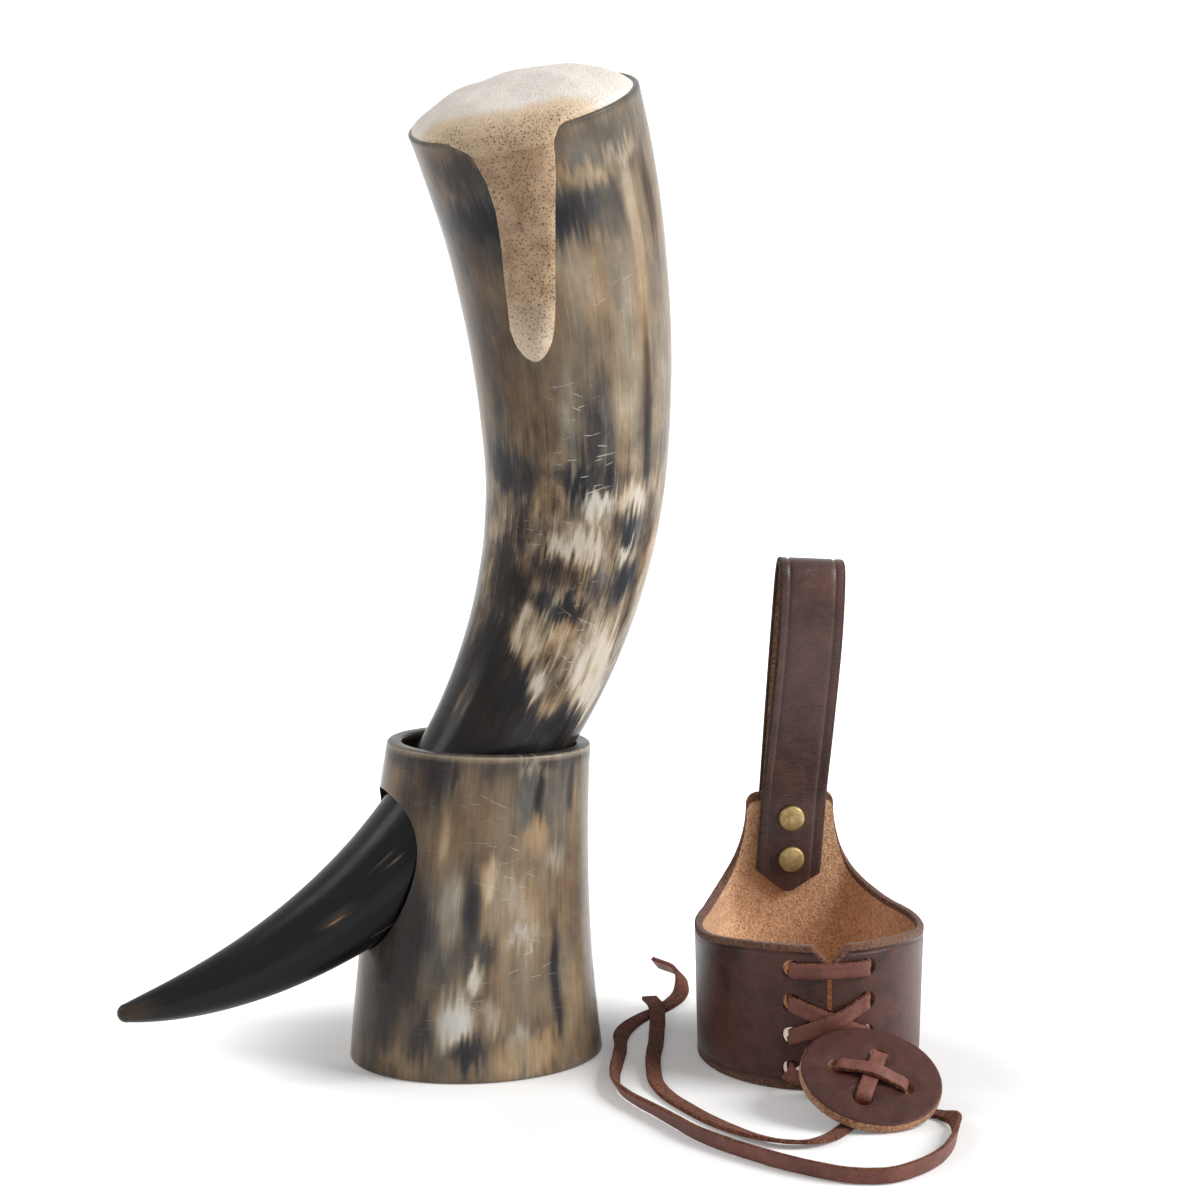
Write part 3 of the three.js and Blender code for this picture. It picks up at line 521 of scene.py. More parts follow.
# Spots on the horn: millimetres from the tip, turn in degrees, half length, half turn, tone, warmth
HORN_SPOTS = [
    (384, -120, 3, 60, 0.36, 0.8), (374, -140, 8, 40, 0.18, 0.45), (376, -70, 10, 30, 0.37, 0.25),
    (371, -60, 3, 14, 0.6, 0.35), (367, -86, 4, 16, 0.58, 0.85), (356, -130, 10, 52, 0.055, 0.1),
    (352, -74, 9, 9, 0.28, 0.25), (350, -62, 18, 5, 0.62, 0.6), (351, -45, 14, 5, 0.16, 0.9),
    (343, -150, 8, 30, 0.2, 0.5), (330, -98, 14, 22, 0.55, 0.8), (322, -76, 24, 16, 0.52, 0.55),
    (318, -62, 18, 5, 0.55, 0.95), (318, -155, 24, 26, 0.28, 0.65), (306, -115, 9, 14, 0.44, 0.5),
    (288, -142, 20, 18, 0.33, 0.85), (300, -165, 22, 10, 0.25, 0.7), (288, -113, 18, 5, 0.54, 0.15),
    (282, -97, 20, 11, 0.3, 0.3), (286, -77, 28, 7, 0.57, 0.5), (286, -62, 26, 3.5, 0.13, 0.9),
    (283, -47, 26, 9, 0.47, 0.4), (266, -162, 8, 16, 0.08, 0.1), (263, -146, 8, 9, 0.2, 0.5),
    (263, -103, 6, 20, 0.09, 0.05), (256, -131, 7, 11, 0.38, 0.95), (255, -97, 5, 10, 0.86, 0.15),
    (257, -73, 5, 13, 0.72, 0.5), (243, -158, 10, 8, 0.64, 0.2), (246, -108, 6, 18, 0.5, 0.65),
    (238, -112, 5, 20, 0.74, 0.6), (241, -95, 6, 7, 0.86, 0.4), (247, -70, 6, 8, 0.14, 0.0),
    (239, -70, 3, 6, 0.78, 0.2), (237, -42, 9, 9, 0.5, 1.0), (229, -114, 6, 15, 0.26, 0.85),
    (230, -88, 4, 10, 0.42, 0.15), (230, -62, 6, 10, 0.14, 0.0), (222, -152, 26, 15, 0.1, 0.6),
    (217, -106, 5, 15, 0.12, 0.2), (220, -50, 7, 8, 0.36, 0.85), (212, -131, 7, 4, 0.6, 0.6),
    (202, -118, 8, 10, 0.64, 0.8), (206, -100, 7, 8, 0.44, 1.0), (204, -70, 14, 22, 0.78, 0.5),
    (190, -104, 7, 8, 0.74, 0.2), (186, -87, 7, 10, 0.5, 0.9), (192, -54, 10, 11, 0.8, 0.5),
    (182, -66, 6, 14, 0.14, 0.1), (184, -117, 8, 10, 0.07, 0.1), (176, -150, 32, 22, 0.07, 0.6),
    (172, -160, 6, 3, 0.38, 1.0), (175, -103, 7, 10, 0.15, 0.45), (84, -112, 7, 7, 0.13, 0.95),
    (8, -104, 9, 70, 0.13, 1.0), (231, -143, 6, 10, 0.26, 0.9), (214, -152, 8, 8, 0.2, 0.7),
    (219, -124, 5, 9, 0.2, 0.4), (222, -95, 3.5, 9, 0.58, 0.3), (203, -129, 5, 8, 0.62, 0.6),
    (207, -101, 6, 8, 0.6, 0.7), (246, -147, 6, 8, 0.38, 0.9), (264, -96, 4, 9, 0.26, 0.3),
    (112, -119, 5, 1.1, 0.42, 0.6), (109, -128, 5, 1.1, 0.3, 0.6), (111, -156, 6, 1.1, 0.25, 0.6),
    (85, -110, 3.5, 1.3, 0.45, 0.8), (94, -57, 5, 1.3, 0.3, 0.6), (172, -150, 9, 2, 0.4, 0.9),
]

# Spots on the stand: height in millimetres, turn in degrees, half height, half turn, tone, warmth
STAND_SPOTS = [
    (107, -122, 11, 28, 0.27, 0.6), (60, -153, 50, 12, 0.2, 0.5),
    (100, -141, 12, 12, 0.25, 0.6), (97, -118, 12, 10, 0.38, 0.8), (103, -125, 6, 3, 0.15, 0.4),
    (80, -126, 14, 10, 0.42, 1.0), (82, -128, 10, 3, 0.62, 1.0), (86, -99, 14, 11, 0.42, 0.8),
    (105, -82, 3, 8, 0.78, 0.2), (95, -80, 12, 13, 0.28, 0.0), (97, -78, 10, 2.5, 0.06, 0.5),
    (99, -60, 12, 8, 0.3, 0.4), (98, -54, 10, 3, 0.12, 0.6), (81, -78, 7, 8, 0.54, 0.9),
    (74, -66, 6, 6, 0.62, 0.3), (56, -88, 20, 20, 0.52, 0.85), (69, -103, 7, 5, 0.72, 1.0),
    (61, -121, 10, 7, 0.6, 0.3), (58, -112, 16, 4.5, 0.12, 0.2), (62, -88, 7, 7, 0.64, 0.65),
    (54, -65, 14, 9, 0.38, 1.0), (49, -85, 4, 8, 0.7, 0.35), (48, -142, 25, 11, 0.12, 0.4),
    (40, -124, 6, 9, 0.3, 0.4), (44, -104, 7, 7, 0.22, 0.2), (35, -107, 5, 4, 0.85, 0.2),
    (21, -117, 10, 10, 0.88, 0.15), (23, -99, 5, 5, 0.62, 0.3), (28, -85, 10, 11, 0.46, 0.7),
    (14, -87, 4, 6, 0.66, 0.3), (9, -109, 5, 10, 0.13, 0.1), (33, -66, 22, 3.5, 0.14, 0.35),
    (20, -54, 15, 8, 0.54, 0.9), (8, -80, 7, 20, 0.6, 1.0), (6, -141, 5, 15, 0.5, 0.8),
    (25, -167, 30, 10, 0.3, 0.5), (104, -138, 8, 9, 0.14, 0.5), (57, -123, 9, 5, 0.6, 0.4),
    (34, -155, 18, 10, 0.14, 0.4), (15, -133, 10, 6, 0.18, 0.4), (9, -48, 8, 8, 0.48, 0.9),
]

# Where fine scratches lie: the same columns, with how many in place of the tone
HORN_SCRATCHES = [
    (272, -105, 20, 16, 1.0, 0.0), (292, -114, 9, 12, 0.8, 0.0), (225, -92, 4, 12, 1.0, 0.0),
    (328, -84, 8, 12, 0.6, 0.0), (205, -88, 14, 28, 0.5, 0.0), (245, -122, 10, 22, 0.4, 0.0),
]
STAND_SCRATCHES = [
    (72, -94, 14, 13, 0.4, 0.0), (38, -88, 9, 18, 0.5, 0.0), (90, -105, 9, 14, 0.25, 0.0),
    (24, -116, 9, 12, 0.5, 0.0),
]

HORN_GRAIN_RADIUS = 0.03
HORN_FAR_SIDE = (-14, 187)
STAND_FAR_SIDE = (-6, 183)
STAND_GRAIN_SHIFT = 0.7
WRAP_SEAM = math.radians(70.0)
BROAD_STREAK = 0.003
BROAD_STREAK_SCALE = 330.0
FINE_STREAK = 0.006
FINE_STREAK_SCALE = 1100.0
SWAY = 0.05
SWAY_SCALE_HORN = 60.0
SWAY_SCALE_STAND = 70.0
STREAK_STRETCH_HORN = 0.08
STREAK_STRETCH_STAND = 0.1

# Along the horn: millimetres from the tip, and the value at each
HORN_TONE = ((0, 130, 160, 185, 215, 390), (0.015, 0.012, 0.035, 0.2, 0.42, 0.42))
HORN_WARMTH = ((0, 150, 200, 390), (0.15, 0.3, 0.6, 0.55))
HORN_BUSY = ((0, 150, 175, 195, 250, 275, 300, 390), (0.2, 0.4, 0.9, 1.25, 1.25, 0.75, 0.5, 0.42))

# Below the horn's lip and the stand's rim: where a band of tone starts and ends
LIP_BAND = (0.0022, 0.0006)
RIM_BAND = (0.0065, 0.002)
# The next two bound the painted highlight along the stand's eased rim edge, below its top
RIM_HIGHLIGHT_TOP = (0.0001, 0.0005)
RIM_HIGHLIGHT_FOOT = (0.0008, 0.0018)


def grain_place(along, turn):
    """Where the grain's pattern is looked up: round a cylinder of even radius, along the growth."""
    along, turn = np.broadcast_arrays(along, turn)
    return np.stack((HORN_GRAIN_RADIUS * np.cos(turn), HORN_GRAIN_RADIUS * np.sin(turn), along), -1)


def write_wrap(piece, along, turn):
    """A flat map of the surface in metres, for the scratches; its seam lies at the back."""
    loops = read_values(piece.data.loops, "vertex_index")
    starts = read_values(piece.data.polygons, "loop_start")
    totals = read_values(piece.data.polygons, "loop_total")
    corner = ((turn - WRAP_SEAM) / (2 * np.pi) % 1.0)[loops]
    highest = np.repeat(np.maximum.reduceat(corner, starts), totals)
    corner = np.where(highest - corner > 0.5, corner + 1.0, corner)
    layer = piece.data.uv_layers.new(name="wrap")
    flat = np.stack((corner * 2 * np.pi * HORN_GRAIN_RADIUS, along[loops]), -1)
    layer.data.foreach_set("uv", flat.astype(np.float32).ravel())


def write_horn_marks(piece, *values):
    """What the horn's material reads at each point: where it lies, its marks and how busy they are."""
    along, turn, tone, warmth, scratched, busy = np.broadcast_arrays(*values)
    write_vectors(piece, "grain", grain_place(along, turn))
    write_vectors(piece, "marks", np.stack((tone, warmth, scratched), -1))
    write_values(piece, "busy", busy)
    write_wrap(piece, along.ravel(), turn.ravel())


def streaked(along, place, broad_seed, fine_seed):
    """Places along the growth, shifted by a broad and a fine ripple so that spots end in streaks."""
    broad = BROAD_STREAK * ripple(place, BROAD_STREAK_SCALE, broad_seed)
    return along + broad + FINE_STREAK * ripple(place, FINE_STREAK_SCALE, fine_seed)


def mark_horn(piece, length, turn, outer):
    warped = streaked(length, grain_place(length * STREAK_STRETCH_HORN, turn), 3.0, 9.0)
    swayed = turn + SWAY * ripple(grain_place(length, turn), SWAY_SCALE_HORN, 8.0)
    tone, warmth, busy = (np.interp(length * 1000.0, *row) for row in (HORN_TONE, HORN_WARMTH, HORN_BUSY))
    tone, warmth = soft_spots(warped, swayed, (tone, warmth), with_far_side(HORN_SPOTS, *HORN_FAR_SIDE))
    scratched, _ = soft_spots(length, turn, (0.0, 0.0), with_far_side(HORN_SCRATCHES, *HORN_FAR_SIDE))
    at_lip = ease(length, *(HORN_LENGTH - below for below in LIP_BAND))
    tone = between(tone, LIP_TONE, np.where(outer, at_lip, 1.0))
    warmth = between(warmth, LIP_WARMTH, at_lip)
    write_horn_marks(piece, length, turn, tone, warmth, scratched, busy)


def make_horn(material):
    turn = full_turn(HORN_SIDES)[None, :]
    blunt = HORN_LENGTH * (TIP_RADIUS / MOUTH_RADIUS) ** (1 / TAPER_POWER)
    cap = np.linspace(0.04, 1.0, TIP_ROWS)[:-1] * np.pi / 2
    cap_length = blunt - TIP_RADIUS * np.cos(cap)
    cap_radius = TIP_RADIUS * np.sin(cap)
    out_length = np.linspace(blunt, HORN_LENGTH - LIP_EASE, HORN_ROWS)
    lip = np.linspace(0.0, np.pi, LIP_ROWS)[1:-1]
    lip_length = HORN_LENGTH - LIP_EASE + LIP_EASE * np.sin(lip)
    lip_radius = MOUTH_RADIUS - LIP_WALL / 2 + LIP_WALL / 2 * np.cos(lip)
    in_length = np.concatenate((
        np.linspace(HORN_LENGTH - LIP_EASE, CAVITY_BOTTOM + CAVITY_END, CAVITY_ROWS),
        CAVITY_BOTTOM + CAVITY_END * np.linspace(0.9, 0.0, CAVITY_END_ROWS) ** 2,
    ))
    length = np.concatenate((cap_length, out_length, lip_length, in_length))[:, None]
    hollow = cavity_radius(in_length) + CAVITY_LEAST
    radius = np.concatenate((cap_radius, horn_radius(out_length), lip_radius, hollow))
    outer = (np.arange(len(length)) < len(cap_length) + len(out_length))[:, None]
    free = ease(length, *WOBBLE_FROM) * (1.0 - ease(length, HORN_LENGTH - WOBBLE_STOP, HORN_LENGTH))
    wobble = ripple(grain_place(length, turn), WOBBLE_SCALE) * WOBBLE * free * outer
    points = horn_points(length, radius[:, None] + wobble, turn)
    piece = new_piece("horn", *loft(points), [material])
    mark_horn(piece, length, turn, outer)
    settle(piece, "horn", "cup_horn", "horn_cup")


# Stand: its rim takes the horn's slanted section, and its hole lets the tip out

def horn_side_at_height(height, side):
    """Where the horn's outer or inner side in the plane of the bend crosses a height."""
    low = 0.0
    high = LOWER_LENGTH
    for _ in range(HALVINGS):
        length = (low + high) / 2
        reach = LOWER_BEND_RADIUS + side * horn_radius(length)
        if BEND_Z + reach * math.sin(bend_angle(length)) < height:
            low = length
        else:
            high = length
    return BEND_X + (LOWER_BEND_RADIUS + side * horn_radius(low)) * math.cos(bend_angle(low)) - STAND[0]


HORN_RIGHT = horn_side_at_height(STAND_HEIGHT, 1)
RIM_RIGHT_HEIGHT = STAND_HEIGHT - (HORN_RIGHT - HORN_AT_RIM) * math.tan(RIM_DROP)
RIM_RIGHT = horn_side_at_height(RIM_RIGHT_HEIGHT, 1) + SEAT_GAP
RIM_LEFT = horn_side_at_height(STAND_HEIGHT, -1) - RIM_ROOM
RIM_CENTRE = (RIM_RIGHT + RIM_LEFT) / 2
RIM_HALF_WIDTH = (RIM_RIGHT - RIM_LEFT) / 2 + STAND_WALL
RIM_HALF_DEPTH = horn_radius(length_where_x(STAND[0] + HORN_AT_RIM)) + RIM_ROOM_SIDE + STAND_WALL


def stand_points(share, inset, turn):
    half_width = between(BASE_HALF_WIDTH, RIM_HALF_WIDTH, share) - inset
    half_depth = between(BASE_HALF_DEPTH, RIM_HALF_DEPTH, share) - inset
    x = half_width * np.cos(turn)
    y = half_depth * np.sin(turn)
    x = x - STAND_WAIST * 2.0 * share * (1.0 - share) * (1.0 + np.cos(turn))
    rim = STAND_HEIGHT - x * math.tan(RIM_DROP) - y * math.tan(RIM_FRONT_RISE)
    return STAND + np.stack((RIM_CENTRE * share ** 2 + x, y, share * rim), -1)


def stand_sleeve(bare):
    """The cutter for the hole in the side: the horn with the room round it."""
    first = length_where_x(STAND[0] - BASE_HALF_WIDTH - HOLE_CUT_PAST_WALL)
    last = length_where_x(STAND[0] - HOLE_CUT_SHORT_OF_AXIS)
    length = np.linspace(first, last, SLEEVE_ROWS)[:, None]
    circle = full_turn(SLEEVE_SIDES)[None, :]
    radius = horn_radius(length)
    across = radius + (HOLE_ROOM_ABOVE + SEAT_GAP) / 2
    shift = (SEAT_GAP - HOLE_ROOM_ABOVE) / 2
    outward = (shift + across * np.cos(circle))[..., None] * horn_outward(length)
    sideways = ((radius + HOLE_ROOM_SIDE) * np.sin(circle))[..., None] * DEEP
    return new_piece("sleeve", *loft(horn_axis(length) + outward + sideways), [bare])


def mark_stand(piece):
    spots = vertices_of(piece) - STAND
    height = spots[:, 2]
    x = spots[:, 0] - RIM_CENTRE * (height / STAND_HEIGHT) ** 2
    turn = np.arctan2(spots[:, 1] / BASE_HALF_DEPTH, x / BASE_HALF_WIDTH)
    place = grain_place(height, turn)
    warped = streaked(height, place * (1.0, 1.0, STREAK_STRETCH_STAND), 5.0, 1.0)
    swayed = turn + SWAY * ripple(place, SWAY_SCALE_STAND, 2.0)
    rim = ease(height, *(STAND_HEIGHT - below for below in RIM_BAND))
    base = (between(STAND_TONE, RIM_TONE, rim), between(STAND_WARMTH, RIM_WARMTH, rim))
    tone, warmth = soft_spots(warped, swayed, base, with_far_side(STAND_SPOTS, *STAND_FAR_SIDE))
    scratches = with_far_side(STAND_SCRATCHES, *STAND_FAR_SIDE)
    scratched, _ = soft_spots(height, turn, (STAND_SCRATCHED, 0.0), scratches)
    # A thin pale band just below the slanted rim's top, along its eased edge: a painted highlight
    fallen = x * math.tan(RIM_DROP) + spots[:, 1] * math.tan(RIM_FRONT_RISE)
    below = STAND_HEIGHT - fallen - height
    wear_and_highlight = ease(below, *RIM_HIGHLIGHT_TOP) * (1.0 - ease(below, *RIM_HIGHLIGHT_FOOT))
    tone = between(tone, RIM_HIGHLIGHT_TONE, RIM_HIGHLIGHT_SHARE * wear_and_highlight)
    write_horn_marks(piece, height + STAND_GRAIN_SHIFT, turn, tone, warmth, scratched, STAND_BUSY)


def make_stand(material, bare):
    turn = full_turn(STAND_SIDES)[None, :]
    edge = RIM_EASE / STAND_HEIGHT
    curve = np.linspace(0.0, np.pi / 2, RIM_ROWS)
    rise = edge * (1.0 - np.cos(curve))
    inward = RIM_EASE * (1.0 - np.sin(curve))
    climb = np.linspace(edge, 1.0 - edge, STAND_ROWS)
    share = np.concatenate((rise, climb[1:-1], 1.0 - rise[::-1], 1.0 - rise, climb[1:-1][::-1], rise[::-1]))
    flat = np.zeros(len(climb) - 2)
    half = np.concatenate((inward, flat, inward[::-1]))
    inset = np.concatenate((half, STAND_WALL - half))
    points = stand_points(share[:, None], inset[:, None], turn)
    piece = new_piece("stand", *loft(points, loop=True), [material, bare])
    cut(piece, [stand_sleeve(bare)])
    ease_cut_edge(piece, HOLE_EASE)
    harden(piece, HORN_CREASE)
    mark_stand(piece)
    settle(piece, "stand", "stand_horn", "horn_stand")


# Holster band: a leather sheet round an oval, flattened at the back where the tab rises

UPPER_RIVET = TAB_HEIGHT - RIVET_BELOW_TAB_TOP
LOWER_RIVET = UPPER_RIVET - RIVET_PITCH
STRAP_FRONT_END = LOWER_RIVET - STRAP_FRONT_BELOW_RIVET
STRAP_BACK_END = LOWER_RIVET - STRAP_BACK_BELOW_RIVET
FLAT_ABOVE = STRAP_FRONT_END - FLAT_BELOW_STRAP
LACE_ROWS = np.linspace(BAND_FRONT_HEIGHT - LACE_TOP_MARGIN, LACE_FOOT_MARGIN, LACE_ROW_COUNT)
THONG_HOLE_RADIUS = math.hypot(THONG_WIDTH / 2, THONG_THICK / 2) + THONG_HOLE_ROOM
ON_FACE = SEAT_GAP + THONG_THICK / 2
TAB_MIDDLE = BAND_HALF_DEPTH - LEATHER / 2
STRAP_OFFSET = LEATHER / 2 + SEAT_GAP + STRAP_THICK / 2
STACK_HALF = STRAP_OFFSET + STRAP_THICK / 2 + SEAT_GAP


def in_holster(points, turned=True):
    """From the holster's own frame to the set's."""
    points = np.asarray(points, float)
    if turned:
        spin = np.array(Matrix.Rotation(HOLSTER_TURN, 3, "Z"))
        points = points @ spin.T
    return points + HOLSTER


def band_top(turn):
    """The height of the sheet's top edge at a turn from the middle of the back."""
    x = BAND_HALF_WIDTH * np.abs(np.sin(turn))
    tab_side = TAB_HEIGHT - TAB_CORNER
    into_corner = np.clip(x - (TAB_HALF_WIDTH - TAB_CORNER), 0.0, TAB_CORNER)
    corner = tab_side + np.sqrt(TAB_CORNER ** 2 - into_corner ** 2)
    left = np.clip(1.0 - (x - TAB_HALF_WIDTH) / FLARE_REACH, 0.0, 1.0)
    flare = tab_side - (tab_side - BAND_SIDE_HEIGHT) * np.sqrt(1.0 - left ** 2)
    back = np.where(x <= TAB_HALF_WIDTH, corner, flare)
    front = between(BAND_SIDE_HEIGHT, BAND_FRONT_HEIGHT, ease(-np.cos(turn), 0.0, 1.0))
    notch = np.maximum(0.0, 1.0 - (x - SLIT / 2) / (NOTCH_HALF_WIDTH - SLIT / 2))
    return np.where(np.cos(turn) > 0.0, back, front - NOTCH_DEPTH * notch)


def band_plan(turn, height):
    half_width = BAND_HALF_WIDTH - BAND_FOOT_DRAW * np.maximum(0.0, 1.0 - height / BAND_SIDE_HEIGHT)
    x = half_width * np.sin(turn)
    flat = ease(height, FLAT_FROM, FLAT_ABOVE) * (1.0 - ease(np.abs(x), FLAT_TO_X, FLAT_TO_X + FLAT_FADE))
    flat = np.where(np.cos(turn) > 0.0, flat, 0.0)
    y = BAND_HALF_DEPTH * between(np.cos(turn), 1.0, flat)
    return np.stack((x, y, height), -1)


def band_outward(turn, height):
    nudge = 0.001
    along = unit(band_plan(turn + nudge, height) - band_plan(turn - nudge, height))
    return np.stack((-along[..., 1], along[..., 0], np.zeros_like(along[..., 0])), -1)


def band_point(turn, height, proud):
    values = [np.asarray(value, float) for value in (turn, height, proud)]
    turn, height, proud = np.broadcast_arrays(*values)
    return band_plan(turn, height) + proud[..., None] * band_outward(turn, height)


def front_turn(x):
    return np.pi - np.arcsin(x / BAND_HALF_WIDTH)


def band_turns():
    """Turns from slit to slit, closer where the top edge bends."""
    corner_start = TAB_HALF_WIDTH - TAB_CORNER
    quarter = np.linspace(0.0, np.pi / 2, FLARE_STEPS)[1:]
    back = np.arcsin(np.concatenate((
        np.linspace(0.0, corner_start, TAB_STEPS)[1:],
        corner_start + TAB_CORNER * np.sin(quarter[3::4]),
        TAB_HALF_WIDTH + FLARE_REACH * (1.0 - np.cos(quarter)),
    )) / BAND_HALF_WIDTH)
    round_side = np.linspace(back[-1], front_turn(NOTCH_HALF_WIDTH), BAND_SIDE_STEPS)[1:]
    notch = np.linspace(front_turn(NOTCH_HALF_WIDTH), front_turn(SLIT / 2), NOTCH_STEPS)[1:]
    half = np.concatenate((back, round_side, notch))
    return np.concatenate((-half[::-1], (0.0,), half))


# A tooled line's section: sideways places and depths, as shares of its half width and its depth
GROOVE_SHAPE = (
    (-1.6, 0.0), (-1.0, -0.25), (-0.55, -0.8), (0.0, -1.0), (0.55, -0.8), (1.0, -0.25), (1.6, 0.0),
)


def edge_profile(thick):
    """Across a cut edge: steps back from the edge and steps into the sheet."""
    return ((0.0009, 0.0), (0.0004, 0.0001), (0.0001, 0.0004), (0.0, 0.5 * thick))


def make_band(outside, suede, edge):
    turn = band_turns()
    top = band_top(turn)
    rows = []
    for back, inset in reversed(edge_profile(LEATHER)):
        rows.append((np.full_like(top, back), -inset, 2))
    for across, depth in GROOVE_SHAPE:
        rows.append((np.full_like(top, GROOVE_INSET + across * GROOVE_HALF), GROOVE_DEPTH * depth, 0))
    inner = GROOVE_INSET + EDGE_MARGIN
    for share in np.linspace(0.0, 1.0, BAND_ROWS)[1:-1]:
        rows.append((between(inner, top - inner, share), 0.0, 0))
    steep = np.clip(np.abs(np.gradient(top, turn)) / BAND_HALF_WIDTH, 0.0, 2.0)
    kept = 1.0 - ease(steep, 0.3, 1.0)
    for across, depth in GROOVE_SHAPE:
        rows.append((top - GROOVE_INSET + across * GROOVE_HALF, GROOVE_DEPTH * depth * kept, 0))
    for back, inset in edge_profile(LEATHER):
        rows.append((top - back, -inset, 2))
    for back, inset in reversed(edge_profile(LEATHER)):
        rows.append((top - back, inset - LEATHER, 2))
    for share in np.linspace(1.0, 0.0, BAND_INSIDE_ROWS)[1:-1]:
        rows.append((between(EDGE_MARGIN, top - EDGE_MARGIN, share), -LEATHER, 1))
    for back, inset in edge_profile(LEATHER):
        rows.append((np.full_like(top, back), inset - LEATHER, 2))
    height = np.stack([row[0] for row in rows], 1)
    proud = np.stack([np.broadcast_to(row[1], top.shape) for row in rows], 1)
    kinds = np.array([row[2] for row in rows])
    plain = band_point(turn[:, None], height, proud)
    nap = NAP_HEIGHT * ripple(plain, NAP_SCALE) * (kinds == 1)
    nap = nap + EDGE_NAP_HEIGHT * ripple(plain, EDGE_NAP_SCALE, 4.0) * (kinds == 2)
    rings = in_holster(band_point(turn[:, None], height, proud + nap))
    material_rows = list(np.maximum(kinds, np.roll(kinds, -1)))
    piece = new_piece("holster_band", *loft(rings), [outside, suede, edge])
    paint_sides(piece, rings, material_rows)
    holes = []
    for row in LACE_ROWS:
        for side in (-1, 1):
            spot = front_turn(side * LACE_HOLE_X)
            along = in_holster(band_outward(spot, row)) - HOLSTER
            centre = in_holster(band_point(spot, row, 0.0))
            holes.append(drill(THONG_HOLE_RADIUS, 4 * LEATHER, centre, along, edge))
    cut(piece, holes)
    harden(piece, LEATHER_CREASE)
    settle(piece, "holster", "holster_leather", "holster_band")


# Belt loop: one strap folded over the tab, pointed at the front end

def plane_spline(points, per_span):
    """An even Catmull-Rom line through points in a plane."""
    points = np.asarray(points, float)
    padded = np.vstack((points[0], points, points[-1]))
    share = np.linspace(0.0, 1.0, per_span, endpoint=False)[:, None]
    spans = []
    for first, here, there, last in zip(padded[:-3], padded[1:-2], padded[2:-1], padded[3:]):
        leave = (there - first) / 2
        arrive = (last - here) / 2
        spans.append(hermite(here, there, leave, arrive, share))
    return np.vstack((*spans, points[-1:]))


def hermite(here, there, leave, arrive, share):
    square = share * share
    cube = square * share
    start = 2 * cube - 3 * square + 1
    straight = start * here + (1 - start) * there
    return straight + (cube - 2 * square + share) * leave + (cube - square) * arrive


def strap_line():
    """The strap's middle line in its side plane: y and z from the tab's middle plane."""
    reach = LOOP_RISE - STRAP_THICK / 2
    fold_top = TAB_HEIGHT + reach
    fold_y = (LOOP_BACK_BULGE - LOOP_FRONT_BULGE + LOOP_FOLD_RADIUS) / 2
    opening = TAB_HEIGHT + LOOP_OPENING * reach
    widest = TAB_HEIGHT + LOOP_WIDEST * reach
    return plane_spline([
        (-STRAP_OFFSET, STRAP_FRONT_END),
        (-STRAP_OFFSET, (STRAP_FRONT_END + TAB_HEIGHT) / 2),
        (-STRAP_OFFSET, TAB_HEIGHT),
        (-between(STRAP_OFFSET, LOOP_FRONT_BULGE, LOOP_FRONT_OPEN), opening),
        (-LOOP_FRONT_BULGE, widest),
        (fold_y - LOOP_FRONT_FOLD * LOOP_FOLD_RADIUS, fold_top - LOOP_FOLD_RADIUS),
        (fold_y, fold_top),
        (fold_y + LOOP_FOLD_RADIUS, fold_top - LOOP_FOLD_RADIUS),
        (LOOP_BACK_BULGE, widest),
        (between(STRAP_OFFSET, LOOP_BACK_BULGE, LOOP_BACK_OPEN), opening),
        (STRAP_OFFSET, TAB_HEIGHT),
        (STRAP_OFFSET, STRAP_BACK_END),
    ], STRAP_STEPS)


def strap_columns():
    """Across the strap's outer face: places and depths, with a tooled line near each edge."""
    half = STRAP_WIDTH / 2
    left = [(-half + back, inset) for back, inset in reversed(edge_profile(STRAP_THICK))]
    groove = half - STRAP_GROOVE_INSET
    left += [(-groove + across * GROOVE_HALF, -GROOVE_DEPTH * depth) for across, depth in GROOVE_SHAPE]
    left += [(x, 0.0) for x in np.linspace(-groove + STRAP_GROOVE_CLEAR, 0.0, STRAP_MIDDLE_STEPS)]
    return left + [(-x, depth) for x, depth in left[-2::-1]]


